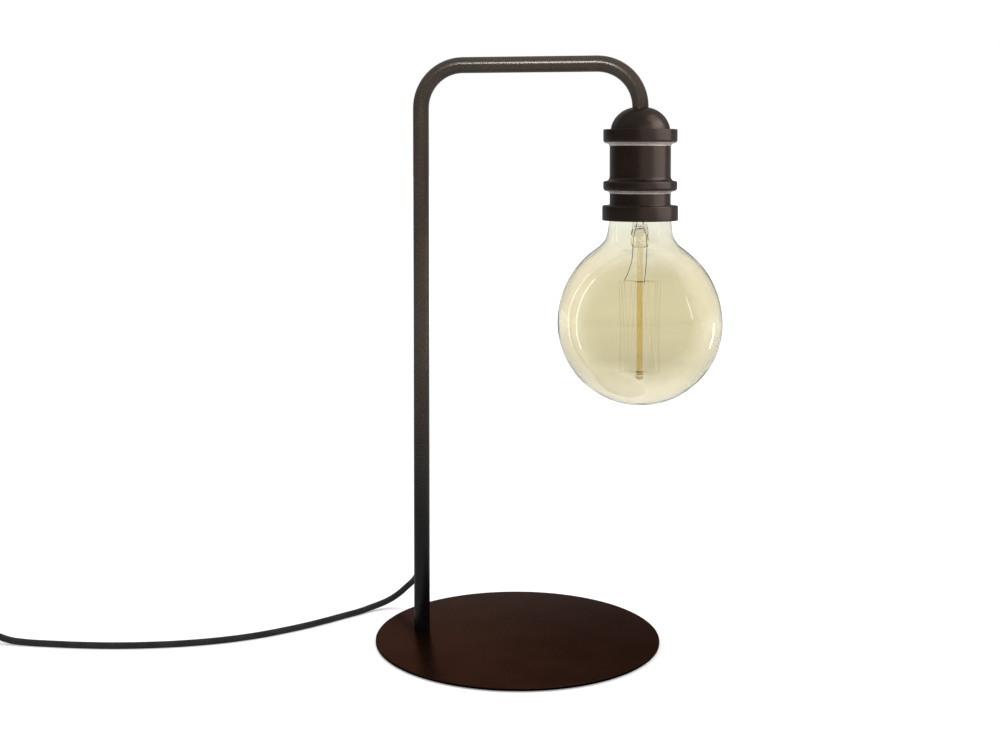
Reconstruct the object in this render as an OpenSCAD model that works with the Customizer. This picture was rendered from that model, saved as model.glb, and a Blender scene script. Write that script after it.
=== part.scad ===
// Arc desk lamp: a round plate, a bent tube and a stepped lampholder cover with a globe bulb.
// Millimetres, +Z up. The origin is on the table under the middle of the base plate, and the
// arm runs along +X. The upright stands at -X, the lampholder hangs at +X.

/* [Base] */
// Diameter of the round base plate
base_d = 220; // [200:1:280]
// Thickness of the base plate
base_t = 2; // [2:0.1:4]
// Radius on the plate's upper rim
base_rim_r = 0.9; // [0.3:0.1:1.4]
// Thickness of the foam pad under the plate
pad_t = 1; // [0.8:0.1:3]
// How far the pad stays inside the plate's rim
pad_inset = 8; // [3:1:25]
// Diameter of the hole in the pad round the screw head
pad_hole_d = 16; // [12:1:30]

/* [Frame tube] */
// Outer diameter of the bent tube
tube_d = 12; // [10.5:0.5:14]
// Wall of the bent tube
tube_wall = 1.5; // [1:0.1:1.6]
// Radius of both bends, at the middle of the tube
bend_r = 33; // [20:1:45]
// Height of the arm's centreline above the table
arm_z = 446; // [430:1:600]
// Distance of the upright's axis from the plate's rim
foot_inset = 34; // [26:1:50]
// Distance from the upright's axis to the lampholder's axis
reach = 170; // [160:1:260]
// Straight stretch of tube under the second bend
drop = 0.5; // [0.5:0.5:30]

/* [Foot] */
// Length of the threaded plug inside the tube's foot
plug_l = 18; // [14:1:28]
// Diameter of the countersunk screw that holds the upright
foot_screw_d = 5; // [4:0.5:6]
// Diameter of that screw's head
foot_head_d = 9.4; // [8.5:0.1:11]
// How far the screw reaches above the plate
foot_screw_reach = 12; // [8:1:13]
// Across the flats of the screw's hexagon socket
foot_socket = 3; // [2:0.5:4]

/* [Cord outlet] */
// Height of the cord outlet above the table
outlet_z = 43; // [34:1:60]
// Direction of the cord outlet round the upright, from +X
outlet_az = 105; // [95:1:120]
// Radius of the bush's neck in the tube's wall
bush_neck_r = 3.6; // [3.2:0.1:4.2]
// Radius of the bush's flange against the tube
bush_flange_r = 4.8; // [4.4:0.1:5.6]
// Radius of the bush's thin end
bush_tip_r = 3.2; // [3:0.1:3.6]
// Thickness of the bush's flange
bush_flange_t = 2; // [1:0.5:4]
// Number of grooves round the bush's taper
bush_grooves = 4; // [2:1:5]
// Radius of the two cores inside the tube
core_r = 0.95; // [0.7:0.05:1]
// Distance of each core from the tube's centreline
core_off = 1.2; // [1.1:0.05:1.5]

/* [Lampholder cover] */
// Height of the dome above the upper ring
dome_h = 16.5; // [12:0.5:18]
// How deep the dome's rim reaches into the upper ring
dome_seat = 3; // [2:0.5:5]
// Wall of the dome
dome_wall = 1.2; // [1:0.1:2]
// Thickness of the dome's flat crown
crown_t = 2; // [1.6:0.1:3]
// Diameter of the upper and middle rings
ring_d = 56; // [52:0.5:64]
// Height of the upper ring
collar_h = 12.5; // [9:0.5:16]
// Radius on the upper ring's lower edge
collar_round = 2.8; // [1:0.1:4.5]
// Radius of the hollow under the upper ring
collar_lip = 2; // [0.5:0.1:3]
// Diameter of the cylinder between the rings
sleeve_d = 46.2; // [45.6:0.2:50]
// Wall of that cylinder
sleeve_wall = 1.5; // [1:0.1:2]
// Height of the cylinder between the upper and the middle ring
sleeve_h = 23.5; // [16:0.5:26]
// Height of the middle ring
bead_h = 12.5; // [10:0.5:16]
// Radius on the middle ring's lower edge
bead_round = 3; // [1:0.1:4]
// Radius of the hollow under the middle ring
bead_lip = 1.5; // [0.5:0.1:2]
// Radius on the middle ring's upper edge
bead_top_round = 1.5; // [0.5:0.1:2]
// Radius of the hollow above the middle ring
bead_flare = 3; // [1:0.1:3.5]
// Height of the neck between the middle and the lower ring
neck_h = 9; // [7:0.5:11]
// Diameter of the lower ring
skirt_d = 57.4; // [56:0.2:66]
// Height of the lower ring
skirt_h = 11.5; // [11:0.5:13]
// Thickness of the lower ring's top wall
skirt_top_t = 2.5; // [2:0.1:3.4]
// Radius on the upper edge of the lower ring
skirt_round = 1.2; // [0.5:0.1:2.4]
// Radius of the hollow above the lower ring
skirt_lip = 1; // [0.5:0.1:2]
// Clearance of the bulb's neck in the lower ring
skirt_gap = 1; // [0.5:0.1:1.4]
// Thickness where a ring's hollow ends on the cylinder
lip_t = 0.15; // [0.1:0.05:0.4]
// Small radius that breaks the sharp edges of the rings
edge_r = 0.5; // [0.3:0.1:0.6]

/* [Lampholder] */
// Radius of the threaded tip in the tube's end
tip_r = 4.95; // [4.95:0.05:5.2]
// Length of the threaded tip below the tube
tip_l = 14.5; // [12.5:0.5:15.5]
// Length of the tip's spigot in the tube
spigot_l = 4; // [2:0.5:5]
// Wall of the threaded tip
tip_wall = 1.7; // [1:0.1:1.9]
// Thickness of the toothed washer
washer_t = 0.8; // [0.5:0.1:1]
// Radius of the toothed washer
washer_r = 8.5; // [8:0.1:9]
// Number of teeth on the washer
washer_teeth = 12; // [8:1:16]
// Across the flats of the lock nut
nut_af = 14; // [13:0.5:15]
// Height of the lock nut
nut_h = 3; // [2.5:0.5:4]
// Diameter of the lampholder
holder_d = 39; // [38:0.5:40]
// Height of the lampholder's cap
holder_cap_h = 22; // [21:0.5:23]
// Radius of the terminal block
block_r = 15.3; // [15:0.1:15.6]
// Height of the terminal block
block_h = 15.5; // [14:0.5:16.5]
// Wall of the screw shell that takes the bulb's cap
shell_wall = 0.8; // [0.5:0.1:0.9]
// Thickness of the contact strips
strip_t = 0.5; // [0.4:0.1:0.8]
// Distance of each terminal from the lampholder's axis
terminal_off = 7.5; // [7:0.5:8]
// Width and depth of a terminal
terminal_w = 6; // [5:0.5:6.5]
// Height of a terminal above the block
terminal_h = 6; // [5:0.5:6.5]

/* [Bulb] */
// Diameter of the globe
globe_d = 125; // [110:1:130]
// Distance from the lower ring down to the middle of the globe
globe_drop = 77.7; // [74:0.1:90]
// Diameter of the bulb's glass neck
bulb_neck_d = 48.8; // [46:0.2:50]
// Radius of the hollow between neck and globe
bulb_fillet_r = 17; // [12:0.5:20]
// How much fuller than a ball the upper half is
globe_full = 6; // [0:0.5:8]
// Wall of the glass
glass_t = 0.9; // [0.6:0.1:1.2]
// Radius of the glass shoulder above the neck
shoulder_r = 11; // [10.6:0.1:11.4]
// Diameter of the bulb's screw cap
cap_d = 26.3; // [26:0.1:26.4]
// Wall of the screw cap
cap_wall = 0.4; // [0.3:0.1:0.5]
// Length of the screw cap
cap_l = 23; // [21:0.5:24]
// How far the bulb travels out of its holder
bulb_travel = 42; // [40:1:45]

/* [Inside the bulb] */
// Radius of the glass stem tube
stem_r = 5.6; // [4.6:0.1:6.5]
// Wall of the stem tube
stem_wall = 0.9; // [0.7:0.1:1.1]
// Distance from the middle of the globe up to the pinch's lower end
pinch_z = 56.5; // [52:0.5:58]
// Width, thickness and height of the pinch
pinch_size = [14, 5.5, 14.5];
// Radius of the glass rod
rod_r = 2.3; // [1.5:0.1:2.6]
// Height of the upper supports above the middle of the globe
upper_z = 31; // [25:0.5:34]
// Depth of the lower supports below the middle of the globe
lower_z = 38; // [30:0.5:42]
// Radius of the filament cage
cage_r = 16; // [12:0.5:18]
// Number of places where the filament is held at each end
cage_n = 10; // [6:1:12]
// Radius of the filament
filament_r = 0.12; // [0.1:0.01:0.25]
// Radius of the support wires
support_r = 0.16; // [0.14:0.01:0.3]
// Radius of the lead wires
lead_r = 0.35; // [0.25:0.01:0.45]
// Distance between the lead wires inside the stem
lead_gap = 4.7; // [3:0.1:6]
// Distance between the lead wires under the pinch
lead_spread = 10.4; // [7:0.1:12.5]
// Radius of the knob at the rod's lower end
knob_r = 3.2; // [2.8:0.1:4]

/* [Cord] */
// Diameter of the mains cord
cord_d = 5; // [4.6:0.1:5]
// Length of the switch on the cord
switch_l = 60; // [56:1:62]
// Width of the switch
switch_w = 25; // [23:0.5:30]
// Height of the switch
switch_h = 17; // [16:0.5:20]
// Height of the joint between the switch's two halves
switch_split = 8; // [7.5:0.5:9]
// Length of the rocker
rocker_l = 20; // [16:0.5:22]
// Width of the rocker
rocker_w = 11.4; // [9:0.2:13]
// Tilt of the rocker to either side
rocker_tilt = 6; // [4:0.5:8]
// Radius of the rocker's pin
rocker_pin_r = 1.5; // [1.2:0.1:1.8]
// Middle diameter of the coiled turns
coil_d = 52; // [50:1:60]
// Turns in the coil
coil_turns = 7.333; // [6.333:1:8.333]
// Layers of turns in the coil
coil_layers = 4; // [2:2:4]
// Gap between neighbouring turns
coil_gap = 0.5; // [0.45:0.05:0.8]
// Width of the strap round the coil
tie_w = 9; // [6:1:12]
// Thickness of the strap
tie_t = 0.8; // [0.6:0.1:0.9]

/* [Plug] */
// Width of the plug at its pins
mains_w = 35.3; // [33:0.1:37]
// Thickness of the plug
mains_t = 13.7; // [13:0.1:15]
// Length of the plug's body
mains_l = 36; // [32:1:40]
// Length of the plug's strain relief
relief_l = 24; // [20:1:30]
// Diameter of the plug's pins
pin_d = 4; // [3.9:0.1:4.8]
// Length of the pins
pin_l = 19; // [18:0.5:20]
// Distance between the pins
pin_pitch = 19; // [18:0.1:19.2]
// Length of the pins' insulated sleeves
pin_sleeve_l = 10; // [8:0.5:11]
// Diameter of those sleeves
pin_sleeve_d = 3.8; // [3:0.1:3.9]

/* [Hidden] */
$fn = 96;
// Sides of the thin wires
fine_sides = 24;
// How much a ball at a wire's bend stands out over the wire
joint_r = 0.03;

// Clearances: between parts that are pressed or screwed together, and between loose ones
fit = 0.05;
loose = 0.3;
eps = 0.01;

// Levels of the base and the frame
plate_top = pad_t + base_t;
foot_x = foot_inset - base_d / 2;
head_x = foot_x + reach;
tube_r = tube_d / 2;
bore_r = tube_r - tube_wall;
tube_end_z = arm_z - bend_r - drop;
foot_head_h = (foot_head_d - foot_screw_d) / 2 + 0.3;

// Levels of the lampholder cover, from the tube's end down
collar_top = tube_end_z - dome_h;
collar_bot = collar_top - collar_h;
bead_top = collar_bot - sleeve_h;
bead_bot = bead_top - bead_h;
skirt_top = bead_bot - neck_h;
skirt_bot = skirt_top - skirt_h;
dome_bot = collar_top - dome_seat;
sleeve_bot = skirt_top - skirt_top_t;
ring_r = ring_d / 2;
sleeve_r = sleeve_d / 2;

// The dome's arc starts upright at its rim and meets the tube's end at the crown
dome_rim_r = sleeve_r - 0.35;
dome_rise = tube_end_z - dome_bot;
dome_span = dome_rim_r - tube_r;
dome_arc_r = (dome_span * dome_span + dome_rise * dome_rise) / (2 * dome_span);

// Levels of the bulb
globe_r = globe_d / 2;
globe_z = skirt_bot - globe_drop;
bulb_neck_r = bulb_neck_d / 2;
upper_arc_r = globe_r + globe_full;
fillet_x = bulb_neck_r + bulb_fillet_r;
fillet_dx = fillet_x + globe_full;
fillet_z = sqrt(pow(upper_arc_r + bulb_fillet_r, 2) - fillet_dx * fillet_dx);
shoulder_z = globe_drop + 1;
glass_top_z = shoulder_z + shoulder_r;
glass_lip_r = bulb_neck_r - shoulder_r;
glass_lip_h = 4;
cap_r = cap_d / 2;
cap_bot = globe_z + glass_top_z + 0.2;
cap_top = cap_bot + cap_l - 1;
insulator_top = cap_top + 3.8;
contact_top = insulator_top + 1.7;
inner_neck_r = glass_lip_r - 1;

// Levels of the lampholder
washer_top = tube_end_z - crown_t;
nut_top = washer_top - washer_t;
nut_bot = nut_top - nut_h;
tip_bot = tube_end_z - tip_l;
holder_r = holder_d / 2;
holder_split = nut_bot - holder_cap_h;
holder_bot = cap_bot + 2.5;
block_bot = contact_top + 4;
block_top = block_bot + block_h;
shell_r = cap_r + loose + 0.05;
shell_bot = holder_bot + 0.5;
shell_top = cap_top + 4;
ledge_r = shell_r + shell_wall + fit;

// Directions
function around(az, r, z = 0) = [r * cos(az), r * sin(az), z];
core_dir = around(outlet_az + 90, 1);

// The cord's route on the table, chosen by eye from the photographed bends
cord_r = cord_d / 2;
outlet_from = bore_r - 1.1;
bush_l = 20;
switch_x = -436;
switch_y = -77.5;
run_free = [
  [-84.5, 33, 40.5], [-88, 41.5, 36], [-91.5, 48, 30.5], [-96, 53, 24.5],
  [-102, 56, 18.5], [-108.5, 57, 12.5], [-116, 55, 7.5], [-123.5, 51, 4.6],
  [-130, 45, 3.2], [-135.5, 37.5, 2.6], [-146.5, 23.5, 2.5], [-157.5, 9.5, 2.5],
  [-169.5, -4.5, 2.5], [-182, -17, 2.5], [-196, -29.5, 2.5], [-212, -41, 2.5],
  [-230, -51, 2.5], [-250, -59.5, 2.5], [-272, -66.5, 2.5], [-296, -72, 2.5],
  [-322, -75.5, 2.5], [-348, -77, 2.5], [-372, -77.5, 2.7], [-384, -77.5, 3.7],
  [-395, -77.5, 6.5]
];
link_free = [[-476, -77.5, 7], [-487, -77.5, 4.5], [-497, -77.5, 3.6]];
tail_free = [[-532, -18.5, 18.6], [-529.5, -9, 15.5], [-528, 1, 10.5], [-527.2, 10, 7.6]];
coil_x = -512;
plug_x = -527;
plug_y = 22;

foot_mid = [foot_x, 0, outlet_z];
run_route = concat(
  [foot_mid + around(outlet_az, outlet_from), foot_mid + around(outlet_az, 12),
   foot_mid + around(outlet_az, outlet_from + bush_l)],
  run_free,
  [[switch_x + switch_l / 2, switch_y, switch_split],
   [switch_x + switch_l / 2 - 5, switch_y, switch_split]]);

// The coil: piled layers that spiral in and out at a steady rate, wound clockwise
coil_step = cord_d + coil_gap;
layer_turns = coil_turns / coil_layers;
coil_amp = coil_step * layer_turns / 2;
coil_out_r = coil_d / 2 + coil_amp;
coil_y = switch_y + coil_out_r;
coil_low_z = cord_r + tie_t + 0.2;
coil_rings = 24;
coil_from = -90;

// Radius and height of the cord's middle after t turns
function coil_radius(t) = let(s = t / layer_turns, k = floor(s), f = s - k)
  coil_out_r - 2 * coil_amp * (k % 2 == 0 ? f : 1 - f);
function coil_height(t) = coil_low_z + coil_step * coil_climb(t, 1);
function coil_climb(t, k) = k >= coil_layers ? 0 :
  let(s = (t - k * layer_turns) * 2 + 0.5, c = min(max(s, 0), 1))
  c * c * (3 - 2 * c) + coil_climb(t, k + 1);
function coil_point(t) = [coil_x, coil_y, 0] +
  around(coil_from - 360 * t, coil_radius(t), coil_height(t));
coil_count = round(coil_turns * coil_rings);
coil_turn_points = [for (i = [0:coil_count]) coil_point(i * coil_turns / coil_count)];
coil_start = coil_turn_points[0] + [cord_d, 0, 0];
coil_last = coil_turn_points[coil_count];
coil_exit = coil_last - coil_turn_points[coil_count - 1];
coil_exit_flat = unit([coil_exit[0], coil_exit[1], 0]);
coil_end = coil_last + cord_d * coil_exit_flat;
coil_route = concat([coil_start], coil_turn_points, [coil_end]);
link_route = concat(
  [[switch_x - switch_l / 2 + 5, switch_y, switch_split],
   [switch_x - switch_l / 2, switch_y, switch_split]], link_free,
  [coil_start + [cord_r, 0, 0], coil_start]);
plug_z = mains_t / 2;
tail_route = concat([coil_end, coil_end + cord_r * coil_exit_flat], tail_free,
  [[plug_x, plug_y - cord_r, plug_z], [plug_x, plug_y, plug_z]]);

// Sweep of a round tube along a list of points. Its rings are turned by a direction that no
// part of the route runs along.
function unit(v) = v / norm(v);
function heading(p, i) = unit(p[min(i + 1, len(p) - 1)] - p[max(i - 1, 0)]);
function ring_at(p, i, r, n, up) = let(t = heading(p, i), s = unit(cross(up, t)), u = cross(t, s))
  [for (k = [0:n - 1]) p[i] + r * (cos(360 * (k + 0.5) / n) * s + sin(360 * (k + 0.5) / n) * u)];
module swept(p, r, n, up = [0, 0, 1]) {
  last = (len(p) - 1) * n;
  points = [for (i = [0:len(p) - 1]) each ring_at(p, i, r, n, up)];
  sides = [for (i = [0:len(p) - 2], k = [0:n - 1])
    let(a = i * n + k, b = i * n + (k + 1) % n) each [[a, b + n, b], [a, a + n, b + n]]];
  caps = [for (k = [1:n - 2]) each [[0, k, k + 1], [last, last + k + 1, last + k]]];
  polyhedron(points, concat(sides, caps));
}
function route_length(p, i = 1) =
  i >= len(p) ? 0 : norm(p[i] - p[i - 1]) + route_length(p, i + 1);

// Least gap of the coil to itself, measured on its points, half a turn or more apart
coil_least_gap = min([for (i = [0:len(coil_route) - 14], j = [i + 13:len(coil_route) - 1])
  norm(coil_route[i] - coil_route[j])]) - cord_d;

// A flat ring of the section that the arguments give, with rounded outer corners
module corner_cut(x, y, r, sx, sy) {
  translate([x, y]) difference() {
    translate([sx > 0 ? -r : -eps, sy > 0 ? -r : -eps]) square(r + eps);
    translate([-sx * r, -sy * r]) circle(r);
  }
}
module band_section(r_in, r_out, h, r_top, r_bot) {
  difference() {
    translate([r_in, 0]) square([r_out - r_in, h]);
    corner_cut(r_out, h, r_top, 1, 1);
    corner_cut(r_out, 0, r_bot, 1, -1);
  }
}
// A hollow in the corner between the cylinder and a ring's end, above or below the end
function hollow_fit(size, rounding, r_out) =
  max(0, min(size, r_out - rounding - sleeve_r - fit - lip_t));
module hollow_section(z, size, up) {
  r = sleeve_r + fit;
  if (size > eps) translate([r, z]) difference() {
    translate([0, up > 0 ? -eps : -size]) square([size + lip_t, size + eps]);
    translate([size + lip_t, up * size]) circle(size);
  }
}
module at_head(z = 0) { translate([head_x, 0, z]) children(); }

// Base
module base_plate() {
  color("#3a231b") difference() {
    translate([0, 0, pad_t]) rotate_extrude()
      band_section(0, base_d / 2, base_t, base_rim_r, 0.3);
    translate([foot_x, 0, 0]) screw_hole();
  }
}
module screw_hole() {
  z = plate_top - foot_head_h;
  translate([0, 0, z + 0.3]) cylinder(h = foot_head_h - 0.3,
    r1 = foot_head_d / 2 + fit, r2 = foot_screw_d / 2 + fit);
  translate([0, 0, z - 5]) cylinder(h = 5.3 + eps, r = foot_head_d / 2 + fit);
  translate([0, 0, z]) cylinder(h = foot_head_h + 1, r = foot_screw_d / 2 + fit);
}
module base_pad() {
  color("#1b1b1b") difference() {
    cylinder(h = pad_t, r = base_d / 2 - pad_inset);
    translate([foot_x, 0, -1]) cylinder(h = pad_t + 2, r = pad_hole_d / 2);
  }
}
module foot_screw() {
  z = plate_top - foot_head_h;
  color("#8f8f8c") translate([foot_x, 0, z]) difference() {
    union() {
      cylinder(h = 0.3, r = foot_head_d / 2);
      translate([0, 0, 0.3]) cylinder(h = foot_head_h - 0.3,
        r1 = foot_head_d / 2, r2 = foot_screw_d / 2);
      cylinder(h = foot_head_h + foot_screw_reach, r = foot_screw_d / 2);
    }
    translate([0, 0, -1]) cylinder(h = 2.8, r = foot_socket / sqrt(3), $fn = 6);
  }
}
module foot_plug() {
  color("#8f8f8c") translate([foot_x, 0, plate_top]) difference() {
    cylinder(h = plug_l, r = bore_r - fit);
    translate([0, 0, -1]) cylinder(h = plug_l + 2, r = foot_screw_d / 2 + fit);
  }
}

// Frame tube
module tube_section() {
  difference() {
    circle(tube_r);
    circle(bore_r);
  }
}
module quarter_bend(r) { rotate_extrude(angle = 90) translate([r, 0]) children(); }
module arm_tube() {
  color("#3a322b") difference() {
    union() {
      translate([foot_x, 0, plate_top])
        linear_extrude(arm_z - bend_r - plate_top) tube_section();
      translate([foot_x + bend_r, 0, arm_z - bend_r])
        rotate([90, 0, 0]) rotate([0, 0, 90]) quarter_bend(bend_r) tube_section();
      translate([foot_x + bend_r, 0, arm_z]) rotate([0, 90, 0])
        linear_extrude(reach - 2 * bend_r) tube_section();
      translate([head_x - bend_r, 0, arm_z - bend_r])
        rotate([90, 0, 0]) quarter_bend(bend_r) tube_section();
      at_head(tube_end_z) linear_extrude(drop) tube_section();
    }
    at_outlet(bore_r / 2) cylinder(h = tube_d, r = bush_neck_r + fit);
  }
}
module at_outlet(from) {
  translate(foot_mid) rotate([0, 0, outlet_az]) translate([from, 0, 0]) rotate([0, 90, 0]) children();
}
module cord_bush() {
  flange_end = tube_r + bush_flange_t;
  taper_l = outlet_from + bush_l - flange_end;
  groove = taper_l / (2 * bush_grooves + 1);
  color("#141414") difference() {
    union() {
      at_outlet(bore_r - 0.6) cylinder(h = tube_wall + 2, r = bush_neck_r);
      difference() {
        at_outlet(bore_r) cylinder(h = flange_end - bore_r, r = bush_flange_r);
        translate([foot_x, 0, 0]) cylinder(h = 2 * outlet_z, r = tube_r + fit);
      }
      at_outlet(flange_end) cylinder(h = taper_l, r1 = bush_flange_r - 0.4, r2 = bush_tip_r);
    }
    at_outlet(0) cylinder(h = outlet_from + bush_l + 1, r = cord_r + fit);
    for (i = [0:bush_grooves - 1]) at_outlet(flange_end + (2 * i + 1) * groove) difference() {
      cylinder(h = groove, r = bush_flange_r + 1);
      translate([0, 0, -1]) cylinder(h = groove + 2, r = cord_r + 0.45);
    }
  }
}

// The two cores, from the cord's end inside the outlet to the terminals
core_bend = 2.2;
core_side_on = around(45, 1);
function core_route(side) = let(
  e = core_bend,
  off = side * core_off * core_dir,
  foot = foot_mid + off,
  bent_r = bend_r - off[0],
  bend_z = arm_z - bend_r,
  high = tip_bot - 0.5,
  az = atan2(side * core_dir[1], -side * core_dir[0])
) concat(
  [foot + around(outlet_az, outlet_from - fit)],
  [for (a = [0:15:90]) foot + around(outlet_az, e * (1 - sin(a)), e * (1 - cos(a)))],
  [for (a = [180:-9:90]) [foot_x + bend_r + bent_r * cos(a), off[1], bend_z + bent_r * sin(a)]],
  [for (a = [90:-9:0]) [head_x - bend_r + bent_r * cos(a), off[1], bend_z + bent_r * sin(a)]],
  [for (a = [0:15:90]) [head_x, 0, high] + around(az, core_off + e * (1 - cos(a)), -e * sin(a))],
  [for (a = [0:15:90]) [head_x, 0, high] +
    around(az, terminal_off - e * (1 - sin(a)), -e * (2 - cos(a)))],
  [[head_x, 0, block_top + 2.5] + around(az, terminal_off)]);
module core_live() { color("#5b3a1e") swept(core_route(1), core_r, 8, core_side_on); }
module core_neutral() { color("#23476b") swept(core_route(-1), core_r, 8, core_side_on); }

// A straight round bar between two points
module rod_between(a, b, r) {
  v = b - a;
  translate(a) rotate([0, acos(v[2] / norm(v)), atan2(v[1], v[0])]) cylinder(h = norm(v), r = r);
}

// Lampholder cover
module tube_tip() {
  color("#a9a6a0") at_head() difference() {
    union() {
      translate([0, 0, tip_bot]) cylinder(h = tip_l, r = tip_r);
      translate([0, 0, tube_end_z]) cylinder(h = spigot_l, r = bore_r - loose);
    }
    translate([0, 0, tip_bot - 1]) cylinder(h = tip_l + spigot_l + 2, r = tip_r - tip_wall);
  }
}
module star_washer() {
  color("#a9a6a0") at_head(nut_top) linear_extrude(washer_t) difference() {
    circle(washer_r);
    circle(tip_r + fit);
    for (i = [0:washer_teeth - 1]) rotate(i * 360 / washer_teeth)
      translate([washer_r - 1.4, -0.5]) square([3, 1]);
  }
}
module lock_nut() {
  color("#a9a6a0") at_head(nut_bot) difference() {
    cylinder(h = nut_h, r = nut_af / sqrt(3), $fn = 6);
    translate([0, 0, -1]) cylinder(h = nut_h + 2, r = tip_r + fit);
  }
}
module dome_half(inset, rise) {
  x = dome_rim_r - dome_arc_r;
  intersection() {
    union() {
      square([x, dome_rise]);
      translate([x, 0]) circle(dome_arc_r - inset);
    }
    square([dome_rim_r, rise]);
  }
}
module dome_cap() {
  color("#31261f") at_head(dome_bot) rotate_extrude() difference() {
    dome_half(0, dome_rise);
    translate([-eps, -eps]) dome_half(dome_wall, dome_rise - crown_t + eps);
    translate([-eps, 0]) square([tip_r + 2 * fit + eps, 2 * dome_rise]);
  }
}
module collar_ring() {
  lip = hollow_fit(collar_lip, collar_round, ring_r);
  color("#2e241f") at_head(collar_bot) rotate_extrude() {
    translate([0, lip]) band_section(sleeve_r + fit, ring_r, collar_h - lip, edge_r, collar_round);
    hollow_section(lip, lip, -1);
  }
  color("#2e241f") at_head(dome_bot) rotate_extrude()
    translate([dome_rim_r + fit, 0]) square([sleeve_r - dome_rim_r + eps, dome_seat]);
}
module body_sleeve() {
  color("#2b211c") at_head(sleeve_bot) linear_extrude(dome_bot - sleeve_bot) difference() {
    circle(sleeve_r);
    circle(sleeve_r - sleeve_wall);
  }
}
module bead_ring() {
  lip = hollow_fit(bead_lip, bead_round, ring_r);
  flare = hollow_fit(bead_flare, bead_top_round, ring_r);
  body_h = bead_h - lip - flare;
  color("#2e241f") at_head(bead_bot) rotate_extrude() {
    translate([0, lip]) band_section(sleeve_r + fit, ring_r, body_h, bead_top_round, bead_round);
    hollow_section(lip, lip, -1);
    hollow_section(lip + body_h, flare, 1);
  }
}
module skirt_ring() {
  color("#2e241f") at_head(skirt_bot) rotate_extrude() difference() {
    union() {
      band_section(sleeve_r + fit, skirt_d / 2, skirt_h, skirt_round, edge_r);
      hollow_section(skirt_h, hollow_fit(skirt_lip, skirt_round, skirt_d / 2), 1);
    }
    translate([0, -eps]) square([bulb_neck_r + skirt_gap, skirt_h - skirt_top_t + eps]);
  }
}

// Lampholder
module holder_cap() {
  h = holder_cap_h;
  boss_h = nut_bot - tip_bot - 1.5;
  inner_r = holder_r - 2.3;
  color("#1d1c1b") at_head(holder_split) rotate_extrude() polygon([
    [inner_r, 0], [holder_r, 0], [holder_r, h - boss_h - 6.5], [tip_r + 4, h - boss_h + 1],
    [tip_r + 4, h], [tip_r + fit, h], [tip_r + fit, h - boss_h], [tip_r + 2, h - boss_h],
    [inner_r, h - boss_h - 7]
  ]);
}
module holder_block() {
  color("#e8e2d4") at_head(block_bot) difference() {
    cylinder(h = block_h, r = block_r);
    translate([0, 0, block_h - 4]) cylinder(h = 5, r = 2);
  }
}
module holder_skirt() {
  lip_h = 3.5;
  h = holder_split - holder_bot;
  ledge = block_bot - holder_bot;
  color("#1d1c1b") at_head(holder_bot) rotate_extrude() polygon([
    [ledge_r, 0], [holder_r - 0.6, 0], [holder_r, 0.6], [holder_r, h], [holder_r - 2.4, h],
    [holder_r - 2.4, h + lip_h], [block_r + fit, h + lip_h], [block_r + fit, ledge],
    [ledge_r, ledge]
  ]);
}
module screw_shell() {
  color("#c9a75a") at_head(shell_bot) linear_extrude(shell_top - shell_bot) difference() {
    circle(shell_r + shell_wall);
    circle(shell_r);
  }
}
module centre_contact() {
  low = contact_top + loose;
  color("#c9a75a") at_head() translate([0, 3, 0]) rotate([90, 0, 0]) linear_extrude(6) polygon([
    [-9, block_bot], [-3.5, block_bot], [0.5, low + strip_t], [3, low + strip_t], [3, low],
    [0.2, low], [-3.8, block_bot - strip_t], [-9, block_bot - strip_t]
  ]);
}
module side_contact() {
  color("#c9a75a") at_head(shell_top) difference() {
    intersection() {
      cylinder(h = block_bot - shell_top, r = shell_r + shell_wall);
      translate([0, -3, 0]) cube([holder_r, 6, block_bot - shell_top]);
    }
    translate([0, 0, -1]) cylinder(h = block_bot - shell_top + 2, r = shell_r + shell_wall - strip_t);
  }
}
module at_terminals() {
  for (s = [-1, 1]) at_head(block_top) translate([-s * terminal_off * core_dir[0],
    s * terminal_off * core_dir[1], 0]) rotate([0, 0, atan2(s * core_dir[1], -s * core_dir[0])])
    children();
}
module terminals() {
  w = terminal_w;
  color("#c9a75a") at_terminals() difference() {
    translate([-w / 2, -w / 2, 0]) cube([w, w, terminal_h]);
    translate([0, 0, 2]) cylinder(h = terminal_h, r = core_r + 0.15);
    translate([core_r, 0, terminal_h / 2]) rotate([0, 90, 0]) cylinder(h = w, r = 1.5 + fit);
  }
}
module terminal_screws() {
  w = terminal_w;
  color("#8f8f8c") at_terminals() translate([0, 0, terminal_h / 2]) rotate([0, 90, 0]) {
    translate([0, 0, core_r + 0.2]) cylinder(h = w / 2 - core_r, r = 1.5);
    translate([0, 0, w / 2]) difference() {
      cylinder(h = 1.6, r = 2.6);
      translate([-0.4, -3, 0.8]) cube([0.8, 6, 1]);
    }
  }
}

// Bulb. Its sections are drawn with the middle of the globe at zero.
module at_globe(z = 0) { translate([head_x, 0, globe_z + z]) children(); }
module globe_half(t) {
  k = upper_arc_r / (upper_arc_r + bulb_fillet_r);
  touch = [fillet_dx * k - globe_full, fillet_z * k];
  intersection() {
    circle(globe_r - t);
    translate([0, -globe_r]) square([globe_r, globe_r]);
  }
  intersection() {
    translate([-globe_full, 0]) circle(upper_arc_r - t);
    polygon([[0, 0], [globe_r, 0], [globe_r, touch[1]], touch, [0, touch[1]]]);
  }
  difference() {
    polygon([[0, touch[1]], touch, [fillet_x, fillet_z], [0, fillet_z]]);
    translate([fillet_x, fillet_z]) circle(bulb_fillet_r + t);
  }
  translate([0, fillet_z]) square([bulb_neck_r - t, shoulder_z - fillet_z]);
  translate([0, shoulder_z]) square([glass_lip_r, shoulder_r - t]);
  translate([glass_lip_r, shoulder_z]) intersection() {
    circle(shoulder_r - t);
    square(shoulder_r);
  }
}
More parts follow.
